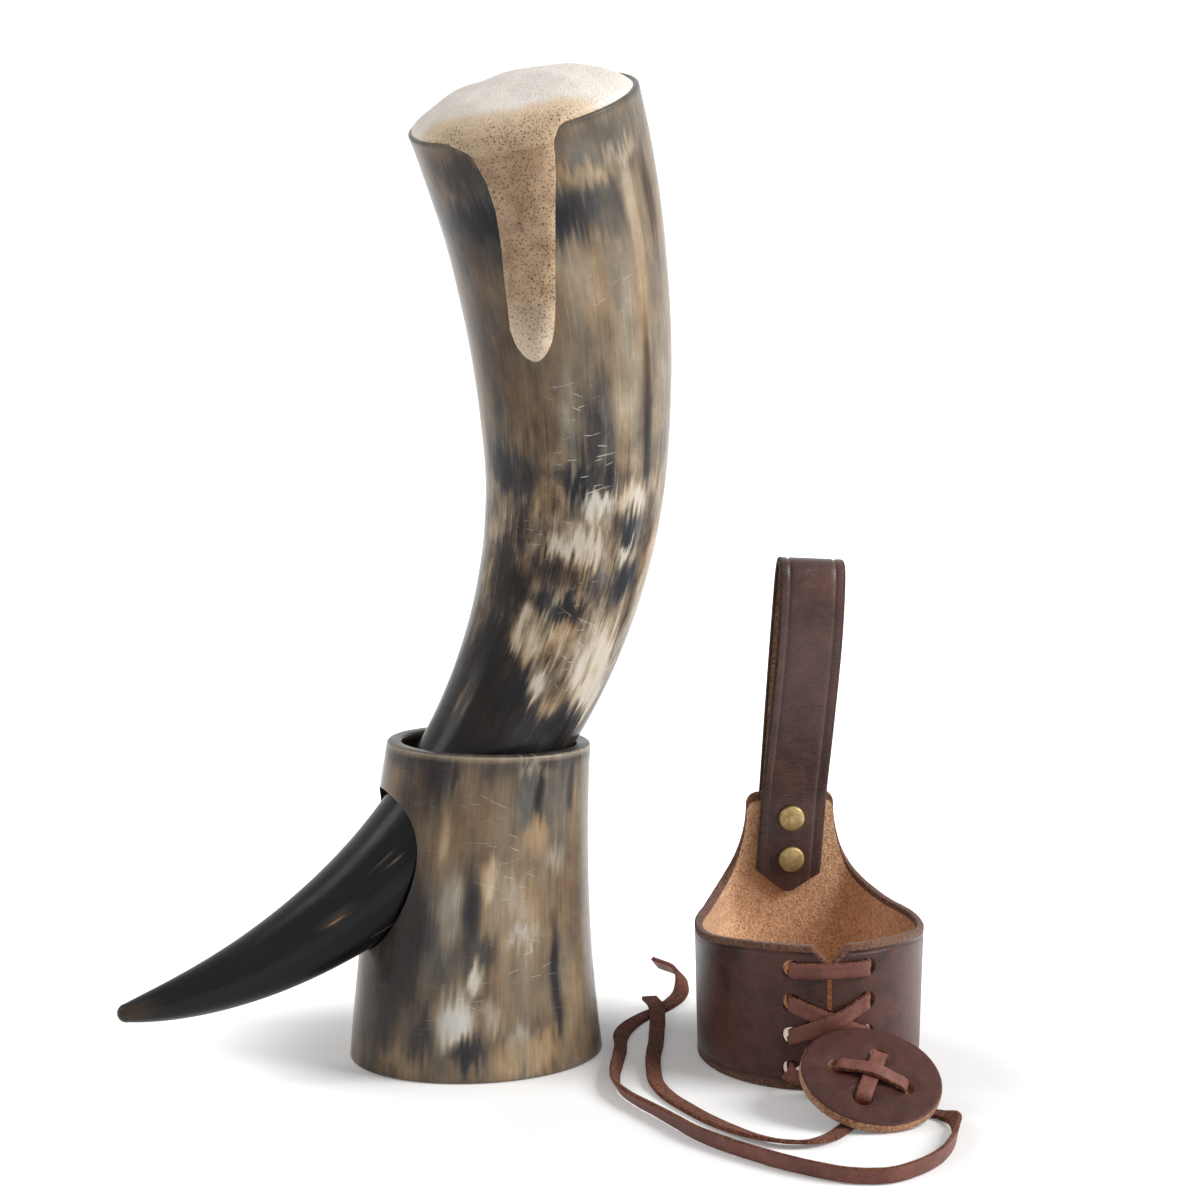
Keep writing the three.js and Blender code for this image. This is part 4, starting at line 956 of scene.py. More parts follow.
def make_strap(outside, suede, edge):
    line = strap_line()
    run = np.concatenate(((0.0,), np.cumsum(np.linalg.norm(np.diff(line, axis=0), axis=1))))
    columns = np.array(strap_columns())
    back_inset = np.where(np.abs(columns[:, 0]) > STRAP_WIDTH / 2 - EDGE_MARGIN, columns[:, 1], 0.0)
    slope = (2 * STRAP_POINT + STRAP_POINT_BLUNT) / STRAP_WIDTH
    start = np.maximum(0.0, slope * np.abs(columns[:, 0]) - STRAP_POINT_BLUNT)
    share = np.linspace(0.0, 1.0, STRAP_ROWS)[:, None]
    place = between(start[None, :], run[-1], share)
    y = np.interp(place, run, line[:, 0])
    z = np.interp(place, run, line[:, 1])
    slopes = np.gradient(line, run, axis=0)
    along_y = np.interp(place, run, slopes[:, 0])
    along_z = np.interp(place, run, slopes[:, 1])
    faces = []
    for side, inset in ((1, columns[:, 1]), (-1, back_inset)):
        level = side * (STRAP_THICK / 2 - inset)[None, :]
        x = np.broadcast_to(columns[:, 0], y.shape)
        faces.append(np.stack((x, y - level * along_z, z + level * along_y), -1))
    nap = NAP_HEIGHT * ripple(faces[1], NAP_SCALE)
    faces[1] = faces[1] + nap[..., None] * np.stack((np.zeros_like(y), along_z, -along_y), -1)
    rings = np.concatenate((faces[0], faces[1][:, ::-1]), 1)
    pivot = np.array((0.0, 0.0, (LOWER_RIVET + UPPER_RIVET) / 2))
    lean = np.array(Matrix.Rotation(STRAP_LEAN, 3, "Y"))
    rings = (rings - pivot) @ lean.T + pivot + np.array((0.0, TAB_MIDDLE, 0.0))
    rings = in_holster(rings)
    rows = [2 if abs(x) > STRAP_WIDTH / 2 - STRAP_EDGE_PAINT else 0 for x in columns[:, 0]]
    back_rows = [2 if row == 2 else 1 for row in rows[::-1]]
    kinds = np.array(rows + back_rows)
    piece = new_piece("belt_strap", *ribbon(rings), [outside, suede, edge])
    paint_sides(piece, rings, list(np.maximum(kinds, np.roll(kinds, -1))[:-1]) + [2])
    harden(piece, LEATHER_CREASE)
    settle(piece, "holster", "strap_leather", "belt_loop")


# Rivets: the dome and the rolled rim as shares of the cap's radius and height

RIVET_DOME_REACH = 0.88
RIVET_DOME_DROP = 0.22
RIVET_DOME_POWER = 2.5
RIVET_RIM = [(0.93, 0.70), (0.97, 0.56), (1.0, 0.36), (1.0, 0.12), (0.97, 0.0)]


def make_rivet(name, height, sign, material):
    """A low domed cap with a rolled rim; the front one carries its post."""
    shares = np.linspace(0.02, 1.0, RIVET_DOME_ROWS)
    dome = [(RIVET_DOME_REACH * s, 1.0 - RIVET_DOME_DROP * s ** RIVET_DOME_POWER) for s in shares]
    profile = [(RIVET_CAP_RADIUS * r, RIVET_CAP_HEIGHT * h) for r, h in dome + RIVET_RIM]
    if sign < 0:
        profile += [(RIVET_POST_RADIUS, 0.0), (RIVET_POST_RADIUS, -2 * STACK_HALF)]
    else:
        profile += [(RIVET_POST_RADIUS + SEAT_GAP, 0.0)]
    turn = full_turn(RIVET_SIDES)
    rings = np.stack([
        np.stack((r * np.cos(turn), np.full_like(turn, sign * (STACK_HALF + h)), r * np.sin(turn)), -1)
        for r, h in profile
    ])
    rings = rings + np.array((0.0, TAB_MIDDLE, height))
    piece = new_piece(name, *loft(in_holster(rings)), [material])
    harden(piece, BRASS_CREASE)
    node = name.replace("brass_", "")
    settle(piece, "holster", "rivet_brass", node)


# Thongs: a flat section with worn edges, drawn along a route that says how its width lies

THONG_FRAY = 0.03
THONG_FRAY_SCALE = 260.0
SECTION_ACROSS = np.array((-1.0, -0.965, -0.88, -0.45, 0.0, 0.45, 0.88, 0.965, 1.0)) * THONG_WIDTH / 2
SECTION_FACE = np.array((0.3, 0.72, 1.0, 1.0, 1.0, 1.0, 1.0, 0.72, 0.3)) * THONG_THICK / 2
THONG_SECTION = np.stack((
    np.concatenate((SECTION_ACROSS, SECTION_ACROSS[::-1])),
    np.concatenate((SECTION_FACE, -SECTION_FACE)),
), -1)


def space_spline(points, per_span):
    """A centripetal Catmull-Rom line through points, and each sample's place in their order."""
    points = np.asarray(points, float)
    padded = np.vstack((2 * points[0] - points[1], points, 2 * points[-1] - points[-2]))
    share = np.linspace(0.0, 1.0, per_span, endpoint=False)[:, None]
    spans = []
    for first, here, there, last in zip(padded[:-3], padded[1:-2], padded[2:-1], padded[3:]):
        before, span, beyond = (
            math.sqrt(np.linalg.norm(b - a)) for a, b in ((first, here), (here, there), (there, last))
        )
        leave = span * ((here - first) / before - (there - first) / (before + span) + (there - here) / span)
        arrive = span * ((there - here) / span - (last - here) / (span + beyond) + (last - there) / beyond)
        spans.append(hermite(here, there, leave, arrive, share))
    order = np.linspace(0.0, len(points) - 1, (len(points) - 1) * per_span + 1)
    return np.vstack((*spans, points[-1:])), order


def thong_rings(stations, per_span):
    """Rings of a thong along stations of a place and a width direction, and its middle line."""
    places = np.array([place for place, _ in stations])
    widths = np.array([width for _, width in stations], float)
    line, order = space_spline(places, per_span)
    along = unit(np.gradient(line, axis=0))
    known = np.arange(len(stations))
    width = np.stack([np.interp(order, known, widths[:, axis]) for axis in range(3)], -1)
    width = unit(width - np.sum(width * along, -1, keepdims=True) * along)
    face = np.cross(along, width)
    fray = 1.0 + THONG_FRAY * ripple(line, THONG_FRAY_SCALE)[:, None]
    across = THONG_SECTION[None, :, 0] * fray
    thick = THONG_SECTION[None, :, 1, None] * face[:, None]
    rings = line[:, None] + across[..., None] * width[:, None] + thick
    return rings, line


def make_thong(name, rings, paints, upper_rough=False):
    """A thong with smooth faces and rough edges; the upper face can be rough too."""
    piece = new_piece(name, *ribbon(rings), paints)
    half = len(SECTION_ACROSS)
    lower = [1, 1] + [0] * (half - 5) + [1, 1]
    upper = [1] * (half - 1) if upper_rough else lower
    paint_sides(piece, rings, upper + [1] + lower + [1])
    harden(piece, THONG_CREASE)
    return piece


def lace_station(x, height, proud, width):
    return band_point(front_turn(x), height, proud), width


def lace_hole(side, row):
    """Stations through a lace hole, from outside to inside, the width turning from upright to level."""
    x = side * LACE_HOLE_X
    height = LACE_ROWS[row]
    return [
        lace_station(x, height, ON_FACE * 0.4, UP),
        lace_station(x, height, -LEATHER / 2, UP),
        lace_station(x, height, -LEATHER - ON_FACE, (0.7, 0.0, 0.7)),
    ]


def inside_turn(side, row):
    """The slack turn inside, from one row's hole to the next one below."""
    inside = -LEATHER - ON_FACE - LACE_INSIDE_SLACK
    heights = [between(LACE_ROWS[row], LACE_ROWS[row + 1], share) for share in (0.25, 0.75)]
    return [lace_station(side * LACE_HOLE_X, height, inside, SIDE) for height in heights]


def outside_run(from_side, from_row, to_row, lift):
    """A run outside from one hole to another, with its middle lifted over what it crosses."""
    start = from_side * (LACE_HOLE_X - THONG_HOLE_RADIUS - SEAT_GAP)
    stations = []
    for share in (0.0, 0.3, 0.5, 0.7, 1.0):
        fallen = between(LACE_RUN_END, 1.0 - LACE_RUN_END, share)
        height = between(LACE_ROWS[from_row], LACE_ROWS[to_row], fallen)
        rise = lift * (1.0 - (2.0 * share - 1.0) ** 2)
        stations.append(lace_station(between(start, -start, share), height, ON_FACE + rise, UP))
    return stations


# Button: its own frame has the disc's middle at the origin and its face along +Z

BUTTON_HEIGHT = (
    (BUTTON_RADIUS - BUTTON_EDGE_EASE) * math.sin(BUTTON_TILT) + BUTTON_THICK / 2 * math.cos(BUTTON_TILT)
)
LACING_PROUD = 2 * (SEAT_GAP + THONG_THICK)
BUTTON_Y = (
    -BAND_HALF_DEPTH - LACING_PROUD - 2 * SEAT_GAP
    - BUTTON_RADIUS * math.cos(BUTTON_TILT) - BUTTON_THICK / 2 * math.sin(BUTTON_TILT)
)
BUTTON_SPIN = np.array(Matrix.Rotation(BUTTON_TILT, 3, "X"))
BUTTON_PLACE = np.array((BUTTON_X, BUTTON_Y, BUTTON_HEIGHT))
BACK_RIGHT, BACK_LEFT, FRONT_LEFT, FRONT_RIGHT = range(4)


def from_button(points):
    """From the disc's frame to the holster's place, square to the set."""
    return np.asarray(points, float) @ BUTTON_SPIN.T + BUTTON_PLACE


def to_button(points):
    return (np.asarray(points, float) - BUTTON_PLACE) @ BUTTON_SPIN


def button_hole(index, height=0.0):
    turn = BUTTON_HOLE_TURN + math.radians(45.0 + 90.0 * index)
    return np.array((BUTTON_HOLE_CIRCLE * math.cos(turn), BUTTON_HOLE_CIRCLE * math.sin(turn), height))


def under_hole(index, below):
    return button_hole(index, -BUTTON_THICK / 2 - below)


def lacing_stations():
    unspin = np.array(Matrix.Rotation(-HOLSTER_TURN, 3, "Z"))

    def link(side, hole):
        end = unspin @ from_button(under_hole(hole, BUTTON_THONG_BELOW + SEAT_GAP))
        along = unspin @ BUTTON_SPIN @ UP
        before = end - LINK_RISE * along
        mouth, _ = lace_station(side * LACE_HOLE_X, LACE_ROWS[-1], LINK_LEAD, SIDE)
        midway = between(mouth, before, 0.55) - LINK_SAG * UP
        return [(end, SIDE), (before, SIDE), (midway, SIDE), (mouth, (0.8, 0.0, 0.6))]

    return [
        *link(-1, BACK_LEFT),
        *lace_hole(-1, 3),
        *reversed(inside_turn(-1, 2)),
        *reversed(lace_hole(-1, 2)),
        *outside_run(-1, 2, 1, SEAT_GAP + THONG_THICK + SEAT_GAP),
        *lace_hole(1, 1),
        *reversed(inside_turn(1, 0)),
        *reversed(lace_hole(1, 0)),
        *outside_run(1, 0, 0, 0.0),
        *lace_hole(-1, 0),
        *inside_turn(-1, 0),
        *reversed(lace_hole(-1, 1)),
        *outside_run(-1, 1, 2, 0.0),
        *lace_hole(1, 2),
        *inside_turn(1, 2),
        *reversed(lace_hole(1, 3)),
        *reversed(link(1, BACK_RIGHT)),
    ]


def make_lacing(paints):
    rings, _ = thong_rings(lacing_stations(), THONG_STEPS)
    piece = make_thong("lacing", in_holster(rings), paints)
    settle(piece, None, "thong_leather", "lacing_thong")
    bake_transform(piece)


def button_thong_stations(first, last, lift, route):
    """Up through one hole, across the face and down another, then level to where its tail starts."""
    start = button_hole(first)
    end = button_hole(last)
    across = unit(end - start)
    width = np.cross(across, UP)
    rest = TABLE_GAP + THONG_THICK / 2
    tail_start = to_button((route[0][0], route[0][1], rest))
    tail_along = unit(to_button((route[1][0], route[1][1], rest)) - tail_start)
    tail_width = np.cross(tail_along, UP @ BUTTON_SPIN)
    tail_start = tail_start - SEAT_GAP * tail_along
    rise = [
        (0.0, -BUTTON_THONG_DIP), (0.05, ON_FACE * 0.7), (0.19, ON_FACE + 0.2 * lift),
        (0.34, ON_FACE + 0.75 * lift),
    ]
    crossing = rise + [(0.5, ON_FACE + lift)] + [(1.0 - share, height) for share, height in rise[::-1]]
    places = [
        under_hole(first, BUTTON_THONG_BELOW),
        under_hole(first, 0.0),
        *(between(start, end, share) + (BUTTON_THICK / 2 + height) * UP for share, height in crossing),
        under_hole(last, 0.0),
        under_hole(last, BUTTON_THONG_LEAVE) + BUTTON_THONG_LEAVE / 2 * across,
    ]
    level = [tail_start + back * tail_along for back in (-TAIL_LEAD, 0.0)]
    return [(place, width) for place in places] + [(place, tail_width) for place in level]


def make_button_thong(name, node, first, last, lift, route, paints):
    rings, _ = thong_rings(button_thong_stations(first, last, lift, route), THONG_STEPS)
    piece = make_thong(name, in_holster(from_button(rings), turned=False), paints)
    settle(piece, "button", "thong_leather", node)


def make_button(face, edge):
    half = BUTTON_THICK / 2
    soft = DISC_EASE
    curve = np.linspace(0.0, np.pi / 2, BUTTON_EASE_ROWS)
    top = [(r, half) for r in np.linspace(DISC_MIDDLE, BUTTON_RADIUS - soft, BUTTON_FACE_ROWS)]
    shoulder = BUTTON_RADIUS - soft
    rounded = [(shoulder + soft * math.sin(a), half - soft + soft * math.cos(a)) for a in curve[1:]]
    wall = [(BUTTON_RADIUS, z) for z in np.linspace(half - soft, -half + soft, BUTTON_WALL_ROWS)[1:-1]]
    lower = [(r, -z) for r, z in reversed(rounded)] + [(r, -half) for r, _ in top[::-2]]
    profile = top + rounded + wall + lower
    turn = full_turn(BUTTON_SIDES)
    circle = np.stack((np.cos(turn), np.sin(turn), 0.0 * turn), -1)
    rings = np.stack([r * circle + z * UP for r, z in profile])
    upper = (np.arange(len(profile)) < len(top))[:, None]
    dip = np.zeros(rings.shape[:2])
    for index in range(4):
        away = np.linalg.norm(rings[..., :2] - button_hole(index)[:2], axis=-1)
        dip = dip - DIMPLE_DEPTH * np.exp(-((away - THONG_HOLE_RADIUS) / DIMPLE_REACH) ** 2)
    radius = np.hypot(rings[..., 0], rings[..., 1])
    ring = np.exp(-((radius - WRINKLE_RADIUS) / WRINKLE_REACH) ** 2)
    wrinkle = ripple(6.0 * circle, 3.0)[None, :] * ring * WRINKLE_DEPTH
    rings[..., 2] += (dip + wrinkle) * upper
    on_wall = np.abs(rings[..., 2]) < half - DISC_NAP_CLEAR
    rough = ripple(rings, DISC_NAP_SCALE) * DISC_NAP_HEIGHT * on_wall
    rings[..., :2] *= (1.0 + rough / BUTTON_RADIUS)[..., None]
    piece = new_piece("lace_disc", *loft(in_holster(from_button(rings), turned=False)), [face, edge])
    first_wall = len(top) + 2
    last_wall = len(top) + 2 * len(rounded) + len(wall) - 3
    sides = len(turn)
    indices = np.zeros(len(piece.data.polygons), int)
    indices[first_wall * sides:last_wall * sides] = 1
    piece.data.polygons.foreach_set("material_index", indices)
    along = BUTTON_SPIN @ UP
    depth = BUTTON_THICK * 2
    middle = depth / 2 - half + BUTTON_HOLE_FLOOR
    holes = []
    for index in range(4):
        place = in_holster(from_button(button_hole(index, middle)), turned=False)
        holes.append(drill(THONG_HOLE_RADIUS, depth, place, along, edge))
    cut(piece, holes)
    harden(piece, DISC_CREASE)
    settle(piece, "button", "button_leather", "lace_button")


# Thong tails on the table, from the holster's middle: x, y, roll in degrees (90 stands on edge) and lift

LONG_TAIL = [
    (0.008, -0.077, 0, 0), (0.0125, -0.082, 5, 0), (0.013, -0.091, 45, 0), (0.009, -0.102, 75, 0),
    (0.002, -0.114, 85, 0), (-0.007, -0.125, 88, 0), (-0.018, -0.133, 88, 0), (-0.030, -0.137, 88, 0),
    (-0.041, -0.133, 88, 0), (-0.049, -0.124, 88, 0), (-0.056, -0.113, 88, 0), (-0.062, -0.101, 86, 0),
    (-0.067, -0.089, 84, 0), (-0.071, -0.076, 80, 0), (-0.073, -0.062, 75, 0), (-0.075, -0.048, 65, 0),
    (-0.077, -0.035, 60, 0), (-0.077, -0.021, 60, 0), (-0.073, -0.008, 60, 0), (-0.067, 0.005, 60, 0),
    (-0.061, 0.018, 50, 0), (-0.056, 0.031, 30, 0), (-0.049, 0.043, 10, 0), (-0.040, 0.053, 0, 0),
    (-0.029, 0.061, 0, 0), (-0.019, 0.071, 10, 0), (-0.013, 0.083, 40, 0), (-0.010, 0.096, 50, 0),
    (-0.013, 0.108, 50, 0),
]

SHORT_TAIL = [
    (-0.019, -0.080, 0, 0), (-0.0245, -0.0855, 0, 0), (-0.031, -0.091, 5, 0), (-0.039, -0.094, 15, 0),
    (-0.047, -0.091, 20, 0), (-0.053, -0.083, 15, 0), (-0.057, -0.071, 5, 0), (-0.060, -0.058, 0, 0),
    (-0.062, -0.044, 0, 0), (-0.063, -0.031, 0, 0), (-0.062, -0.018, 10, 0), (-0.058, -0.005, 20, 0),
    (-0.053, 0.008, 25, 0), (-0.047, 0.021, 20, 0.0002), (-0.042, 0.033, 5, 0.0008),
    (-0.037, 0.045, 0, 0.0019), (-0.033, 0.057, 0, 0.0026), (-0.031, 0.068, 0, 0.002),
]


def tail_stations(route):
    flat = np.array([(x, y, 0.0) for x, y, _, _ in route])
    along = unit(np.gradient(flat, axis=0))
    stations = []
    for (x, y, roll, lift), heading in zip(route, along):
        lean = math.radians(roll)
        width = math.cos(lean) * np.cross(UP, heading) + math.sin(lean) * UP
        rest = THONG_WIDTH / 2 * abs(math.sin(lean)) + THONG_THICK / 2 * math.cos(lean)
        stations.append((np.array((x, y, TABLE_GAP + rest + lift)), width))
    return stations


def make_tail(name, node, route, paints):
    rings, line = thong_rings(tail_stations(route), TAIL_STEPS)
    piece = make_thong(name, in_holster(rings, turned=False), paints, upper_rough=True)
    settle(piece, None, "thong_leather", node)
    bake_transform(piece)


# Beer foam: a mound over the mouth and a drip down the front

# The drip's edges: millimetres from the tip, left and right turn in degrees, thickness in millimetres
DRIP_EDGES = np.array((
    (387.5, -154, -90, 1.0), (384, -146, -94, 1.7), (381, -140, -97, 2.1), (371, -136.5, -100, 2.3),
    (361, -136, -104, 2.4), (349, -138, -108, 2.5), (336, -141, -112, 2.6), (326, -142.5, -114.5, 2.9),
    (318, -143.5, -117, 3.2), (312, -141, -120, 3.1), (308, -136.5, -124.5, 2.3), (306, -131, -129, 1.0),
))


def mouth_frame():
    outward = horn_outward(np.array(HORN_LENGTH))
    return horn_axis(np.array(HORN_LENGTH)), outward, np.cross(outward, DEEP)


def foam_dome():
    centre, outward, upward = mouth_frame()
    turn = full_turn(FOAM_SIDES)[None, :]
    share = np.linspace(1.0, 0.02, FOAM_ROWS)[:, None]
    reach = MOUTH_RADIUS - LIP_WALL * 0.55
    flat = np.stack(np.broadcast_arrays(share * np.cos(turn), share * np.sin(turn), 0.0 * share), -1)
    mound = FOAM_RISE * (1.0 - share ** 2.6) ** 0.8
    bumps = 0.0013 * ripple(flat, 2.2, 6.0) + 0.0006 * ripple(flat, 4.5, 1.0)
    sunk = FOAM_SINK * ease(np.cos(turn - FOAM_SINK_TURN), -0.1, 0.9) * share ** 5
    raised = FOAM_FRONT * ease(np.cos(turn + FOAM_FRONT_TURN), 0.2, 0.95) * share ** 3
    height = mound + bumps * (1.0 - share ** 6) + FOAM_LIFT - sunk + raised
    rings = centre + reach * share[..., None] * (
        np.cos(turn)[..., None] * outward + np.sin(turn)[..., None] * DEEP
    ) + height[..., None] * upward
    below = rings[0] - FOAM_SKIRT * upward
    return loft(np.concatenate((below[None], rings)))


def foam_drip():
    along = np.linspace(DRIP_EDGES[0, 0], DRIP_EDGES[-1, 0], DRIP_ROWS)
    order = DRIP_EDGES[::-1]
    left, right, thick = (np.interp(along, order[:, 0], order[:, column]) for column in (1, 2, 3))
    share = np.sin(np.linspace(-np.pi / 2, np.pi / 2, DRIP_STEPS))
    turn = np.radians(between(left[:, None], right[:, None], (share[None, :] + 1) / 2))
    swell = thick[:, None] / 1000.0 * (1.0 - np.abs(share[None, :]) ** 2.6) ** 0.7
    length = np.minimum(along / 1000.0, HORN_LENGTH)[:, None]
    over = np.maximum(along / 1000.0 - HORN_LENGTH, 0.0)[:, None, None]
    radius = horn_radius(length)
    lifted = over * mouth_frame()[2]
    outer = horn_points(length, radius + swell, turn) + lifted
    inner = horn_points(length, radius - DRIP_SINK, turn) + lifted
    return loft(np.concatenate((outer, inner[:, ::-1]), 1))


def foam_lip():
    """A roll of foam over the lip, where the drip starts."""
    centre, outward, upward = mouth_frame()
    turn = np.radians(np.linspace(*FOAM_ROLL_TURNS, FOAM_ROWS))
    size = FOAM_ROLL * np.sin(np.linspace(0.06, np.pi - 0.06, FOAM_ROWS)) ** 0.5
    circle = full_turn(FOAM_ROLL_SIDES)
    away = np.cos(turn)[:, None] * outward + np.sin(turn)[:, None] * DEEP
    reach = MOUTH_RADIUS - LIP_WALL * 0.75 + size[:, None] * np.cos(circle)
    height = size[:, None] * np.sin(circle) - FOAM_LIFT
    return loft(centre + reach[..., None] * away[:, None] + height[..., None] * upward)


def make_foam(material):
    parts = [foam_dome(), foam_drip(), foam_lip()]
    points = []
    faces = []
    for part_points, part_faces in parts:
        faces += [[corner + len(points) for corner in face] for face in part_faces]
        points += part_points.tolist()
    piece = new_piece("beer_foam", points, faces, [material])
    joined = piece.modifiers.new("join", "REMESH")
    joined.mode = "VOXEL"
    joined.voxel_size = FOAM_VOXEL
    smoothed = piece.modifiers.new("smooth", "SMOOTH")
    smoothed.factor = 0.5
    smoothed.iterations = FOAM_SMOOTHINGS
    apply_modifiers(piece)
    spots = vertices_of(piece)
    centre, outward, upward = mouth_frame()
    away = spots - centre
    height = away @ upward
    sideways = away @ outward
    turn = np.arctan2(away[:, 1], sideways)
    reach = np.hypot(away[:, 1], sideways) / MOUTH_RADIUS
    from_front = np.abs((turn + FOAM_FRONT_TURN + np.pi) % (2 * np.pi) - np.pi)
    front = 1.0 - ease(np.degrees(from_front), 25.0, 75.0)
    wet = np.maximum(0.8 * front * ease(reach, 0.5, 1.05), 1.0 - ease(height, -0.006, 0.0))
    write_values(piece, "wet", wet)
    write_values(piece, "fall", np.clip(-height / DRIP_LENGTH, 0.0, 1.0))
    piece.data.shade_smooth()
    piece.data.materials.clear()
    piece.data.materials.append(material)
    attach(piece, "horn")


# Materials

class Nodes:
    """A tree of nodes, built from values and from the outputs of other nodes."""

    def __init__(self, owner):
        owner.use_nodes = True
        self.tree = owner.node_tree

    def put(self, socket, value):
        if isinstance(value, bpy.types.NodeSocket):
            self.tree.links.new(value, socket)
        elif socket.type == "RGBA" and len(value) == 3:
            socket.default_value = (*value, 1.0)
        else:
            socket.default_value = value

    def add(self, kind, inputs, output=0, **settings):
        node = self.tree.nodes.new("ShaderNode" + kind)
        for name, value in settings.items():
            setattr(node, name, value)
        for name, value in inputs.items():
            self.put(node.inputs[name], value)
        return node.outputs[output]

    def place(self):
        return self.add("TexCoord", {}, output="Object")

    def attribute(self, name, output="Vector"):
        return self.add("Attribute", {}, output=output, attribute_name=name)

    def noise(self, vector, scale, detail=3.0, roughness=0.5, distortion=0.0):
        inputs = {"Vector": vector, "Scale": scale, "Detail": detail}
        return self.add("TexNoise", inputs | {"Roughness": roughness, "Distortion": distortion})

    def long_noise(self, vector, squeeze, *settings):
        """Noise drawn out along z where squeeze is under 1."""
        squeezed = self.add("VectorMath", {0: vector, 1: (1.0, 1.0, squeeze)}, operation="MULTIPLY")
        return self.noise(squeezed, *settings)

    def cells(self, vector, scale, output="Distance", feature="F1", dimensions="3D", randomness=1.0):
        inputs = {"Vector": vector, "Scale": scale, "Randomness": randomness}
        return self.add("TexVoronoi", inputs, output=output, feature=feature, voronoi_dimensions=dimensions)

    def math(self, operation, first, second=0.0, clamp=False):
        return self.add("Math", {0: first, 1: second}, operation=operation, use_clamp=clamp)

    def scaled(self, value, low, high, to_low=0.0, to_high=1.0):
        inputs = {"Value": value, "From Min": low, "From Max": high, "To Min": to_low, "To Max": to_high}
        return self.add("MapRange", inputs, interpolation_type="SMOOTHSTEP")

    def mix(self, share, first, second):
        return self.add("Mix", {0: share, 6: first, 7: second}, output=2, data_type="RGBA")

    def ramp(self, value, stops):
        socket = self.add("ValToRGB", {"Fac": value})
        band = socket.node.color_ramp
        while len(band.elements) < len(stops):
            band.elements.new(0.5)
        for element, (position, colour) in zip(band.elements, stops):
            element.position = position
            element.color = (*colour, 1.0)
        return socket

    def product(self, first, *others):
        for value in others:
            first = self.math("MULTIPLY", first, value)
        return first

    def total(self, *terms):
        """The sum of values, each given with its weight and the middle that it swings about."""
        result = None
        for value, weight, middle in terms:
            swing = self.math("MULTIPLY_ADD", value, weight)
            swing.node.inputs[2].default_value = -weight * middle
            result = swing if result is None else self.math("ADD", result, swing)
        return result

    def relief(self, *layers):
        """Bump layers, each a height, its distance in metres and its strength."""
        normal = None
        for height, distance, strength in layers:
            inputs = {"Height": height, "Distance": distance, "Strength": strength}
            if normal is not None:
                inputs["Normal"] = normal
            normal = self.add("Bump", inputs)
        return normal


class Paint(Nodes):
    """A material's nodes."""

    def __init__(self, name):
        self.material = bpy.data.materials.new(name)
        super().__init__(self.material)

    def surface(self, **inputs):
        """Gives the material's shader its values and links."""
        shader = self.tree.nodes["Principled BSDF"]
        for name, value in inputs.items():
            self.put(shader.inputs[name.replace("_", " ")], value)
        return self.material


COOL_HORN = (
    (0.0, (0.005, 0.005, 0.0065)), (0.1, (0.022, 0.024, 0.030)), (0.22, (0.056, 0.058, 0.064)),
    (0.36, (0.132, 0.130, 0.114)), (0.54, (0.262, 0.247, 0.203)), (0.64, (0.38, 0.35, 0.305)),
    (0.76, (0.60, 0.57, 0.51)), (1.0, (0.86, 0.84, 0.80)),
)
WARM_HORN = (
    (0.0, (0.008, 0.006, 0.005)), (0.1, (0.036, 0.024, 0.016)), (0.22, (0.090, 0.055, 0.031)),
    (0.36, (0.185, 0.118, 0.068)), (0.54, (0.36, 0.242, 0.136)), (0.64, (0.48, 0.345, 0.210)),
    (0.76, (0.64, 0.51, 0.35)), (1.0, (0.86, 0.78, 0.67)),
)
SCRATCH_PALE = (0.86, 0.81, 0.72)
SCRATCH_SHARE = 0.85
FOAM_PALE = ((0.92, 0.83, 0.735), (0.95, 0.885, 0.81))
FOAM_TAN = ((0.33, 0.205, 0.115), (0.57, 0.40, 0.255))
FOAM_GOLD = (0.83, 0.645, 0.445)
FOAM_DRIP_END = (0.86, 0.70, 0.53)
FOAM_BUBBLE = (0.13, 0.062, 0.032)
HORN_GLOSS = 0.15
SUEDE_GLOSS = 0.15
LEATHER_SHEEN_ROUGHNESS = 0.35
SUEDE_SHEEN_ROUGHNESS = 0.6


def scratch_lines(paint, flat, scale, length, width, share, seed):
    """Short straight scratches across the growth, one to a cell at most, each at its own slant."""
    moved = paint.add("VectorMath", {0: flat, 1: (seed, seed * 0.7, 0.0)}, operation="ADD")
    spot = paint.cells(moved, scale, output="Position", dimensions="2D")
    chance = paint.add("SeparateColor", {0: paint.cells(moved, scale, output="Color", dimensions="2D")})
    offset = paint.add("VectorMath", {0: moved, 1: spot}, operation="SUBTRACT")
    slant = paint.scaled(chance, 0.0, 1.0, -0.4, 0.55)
    turned = paint.add("VectorRotate", {"Vector": offset, "Angle": slant}, rotation_type="Z_AXIS")
    x = paint.add("SeparateXYZ", {0: turned})
    y = x.node.outputs[1]
    along = paint.scaled(paint.math("ABSOLUTE", x), length * 0.4, length, 1.0, 0.0)
    across = paint.scaled(paint.math("ABSOLUTE", y), width * 0.3, width, 1.0, 0.0)
    kept = paint.math("LESS_THAN", chance.node.outputs[1], share)
    return paint.product(along, across, kept)


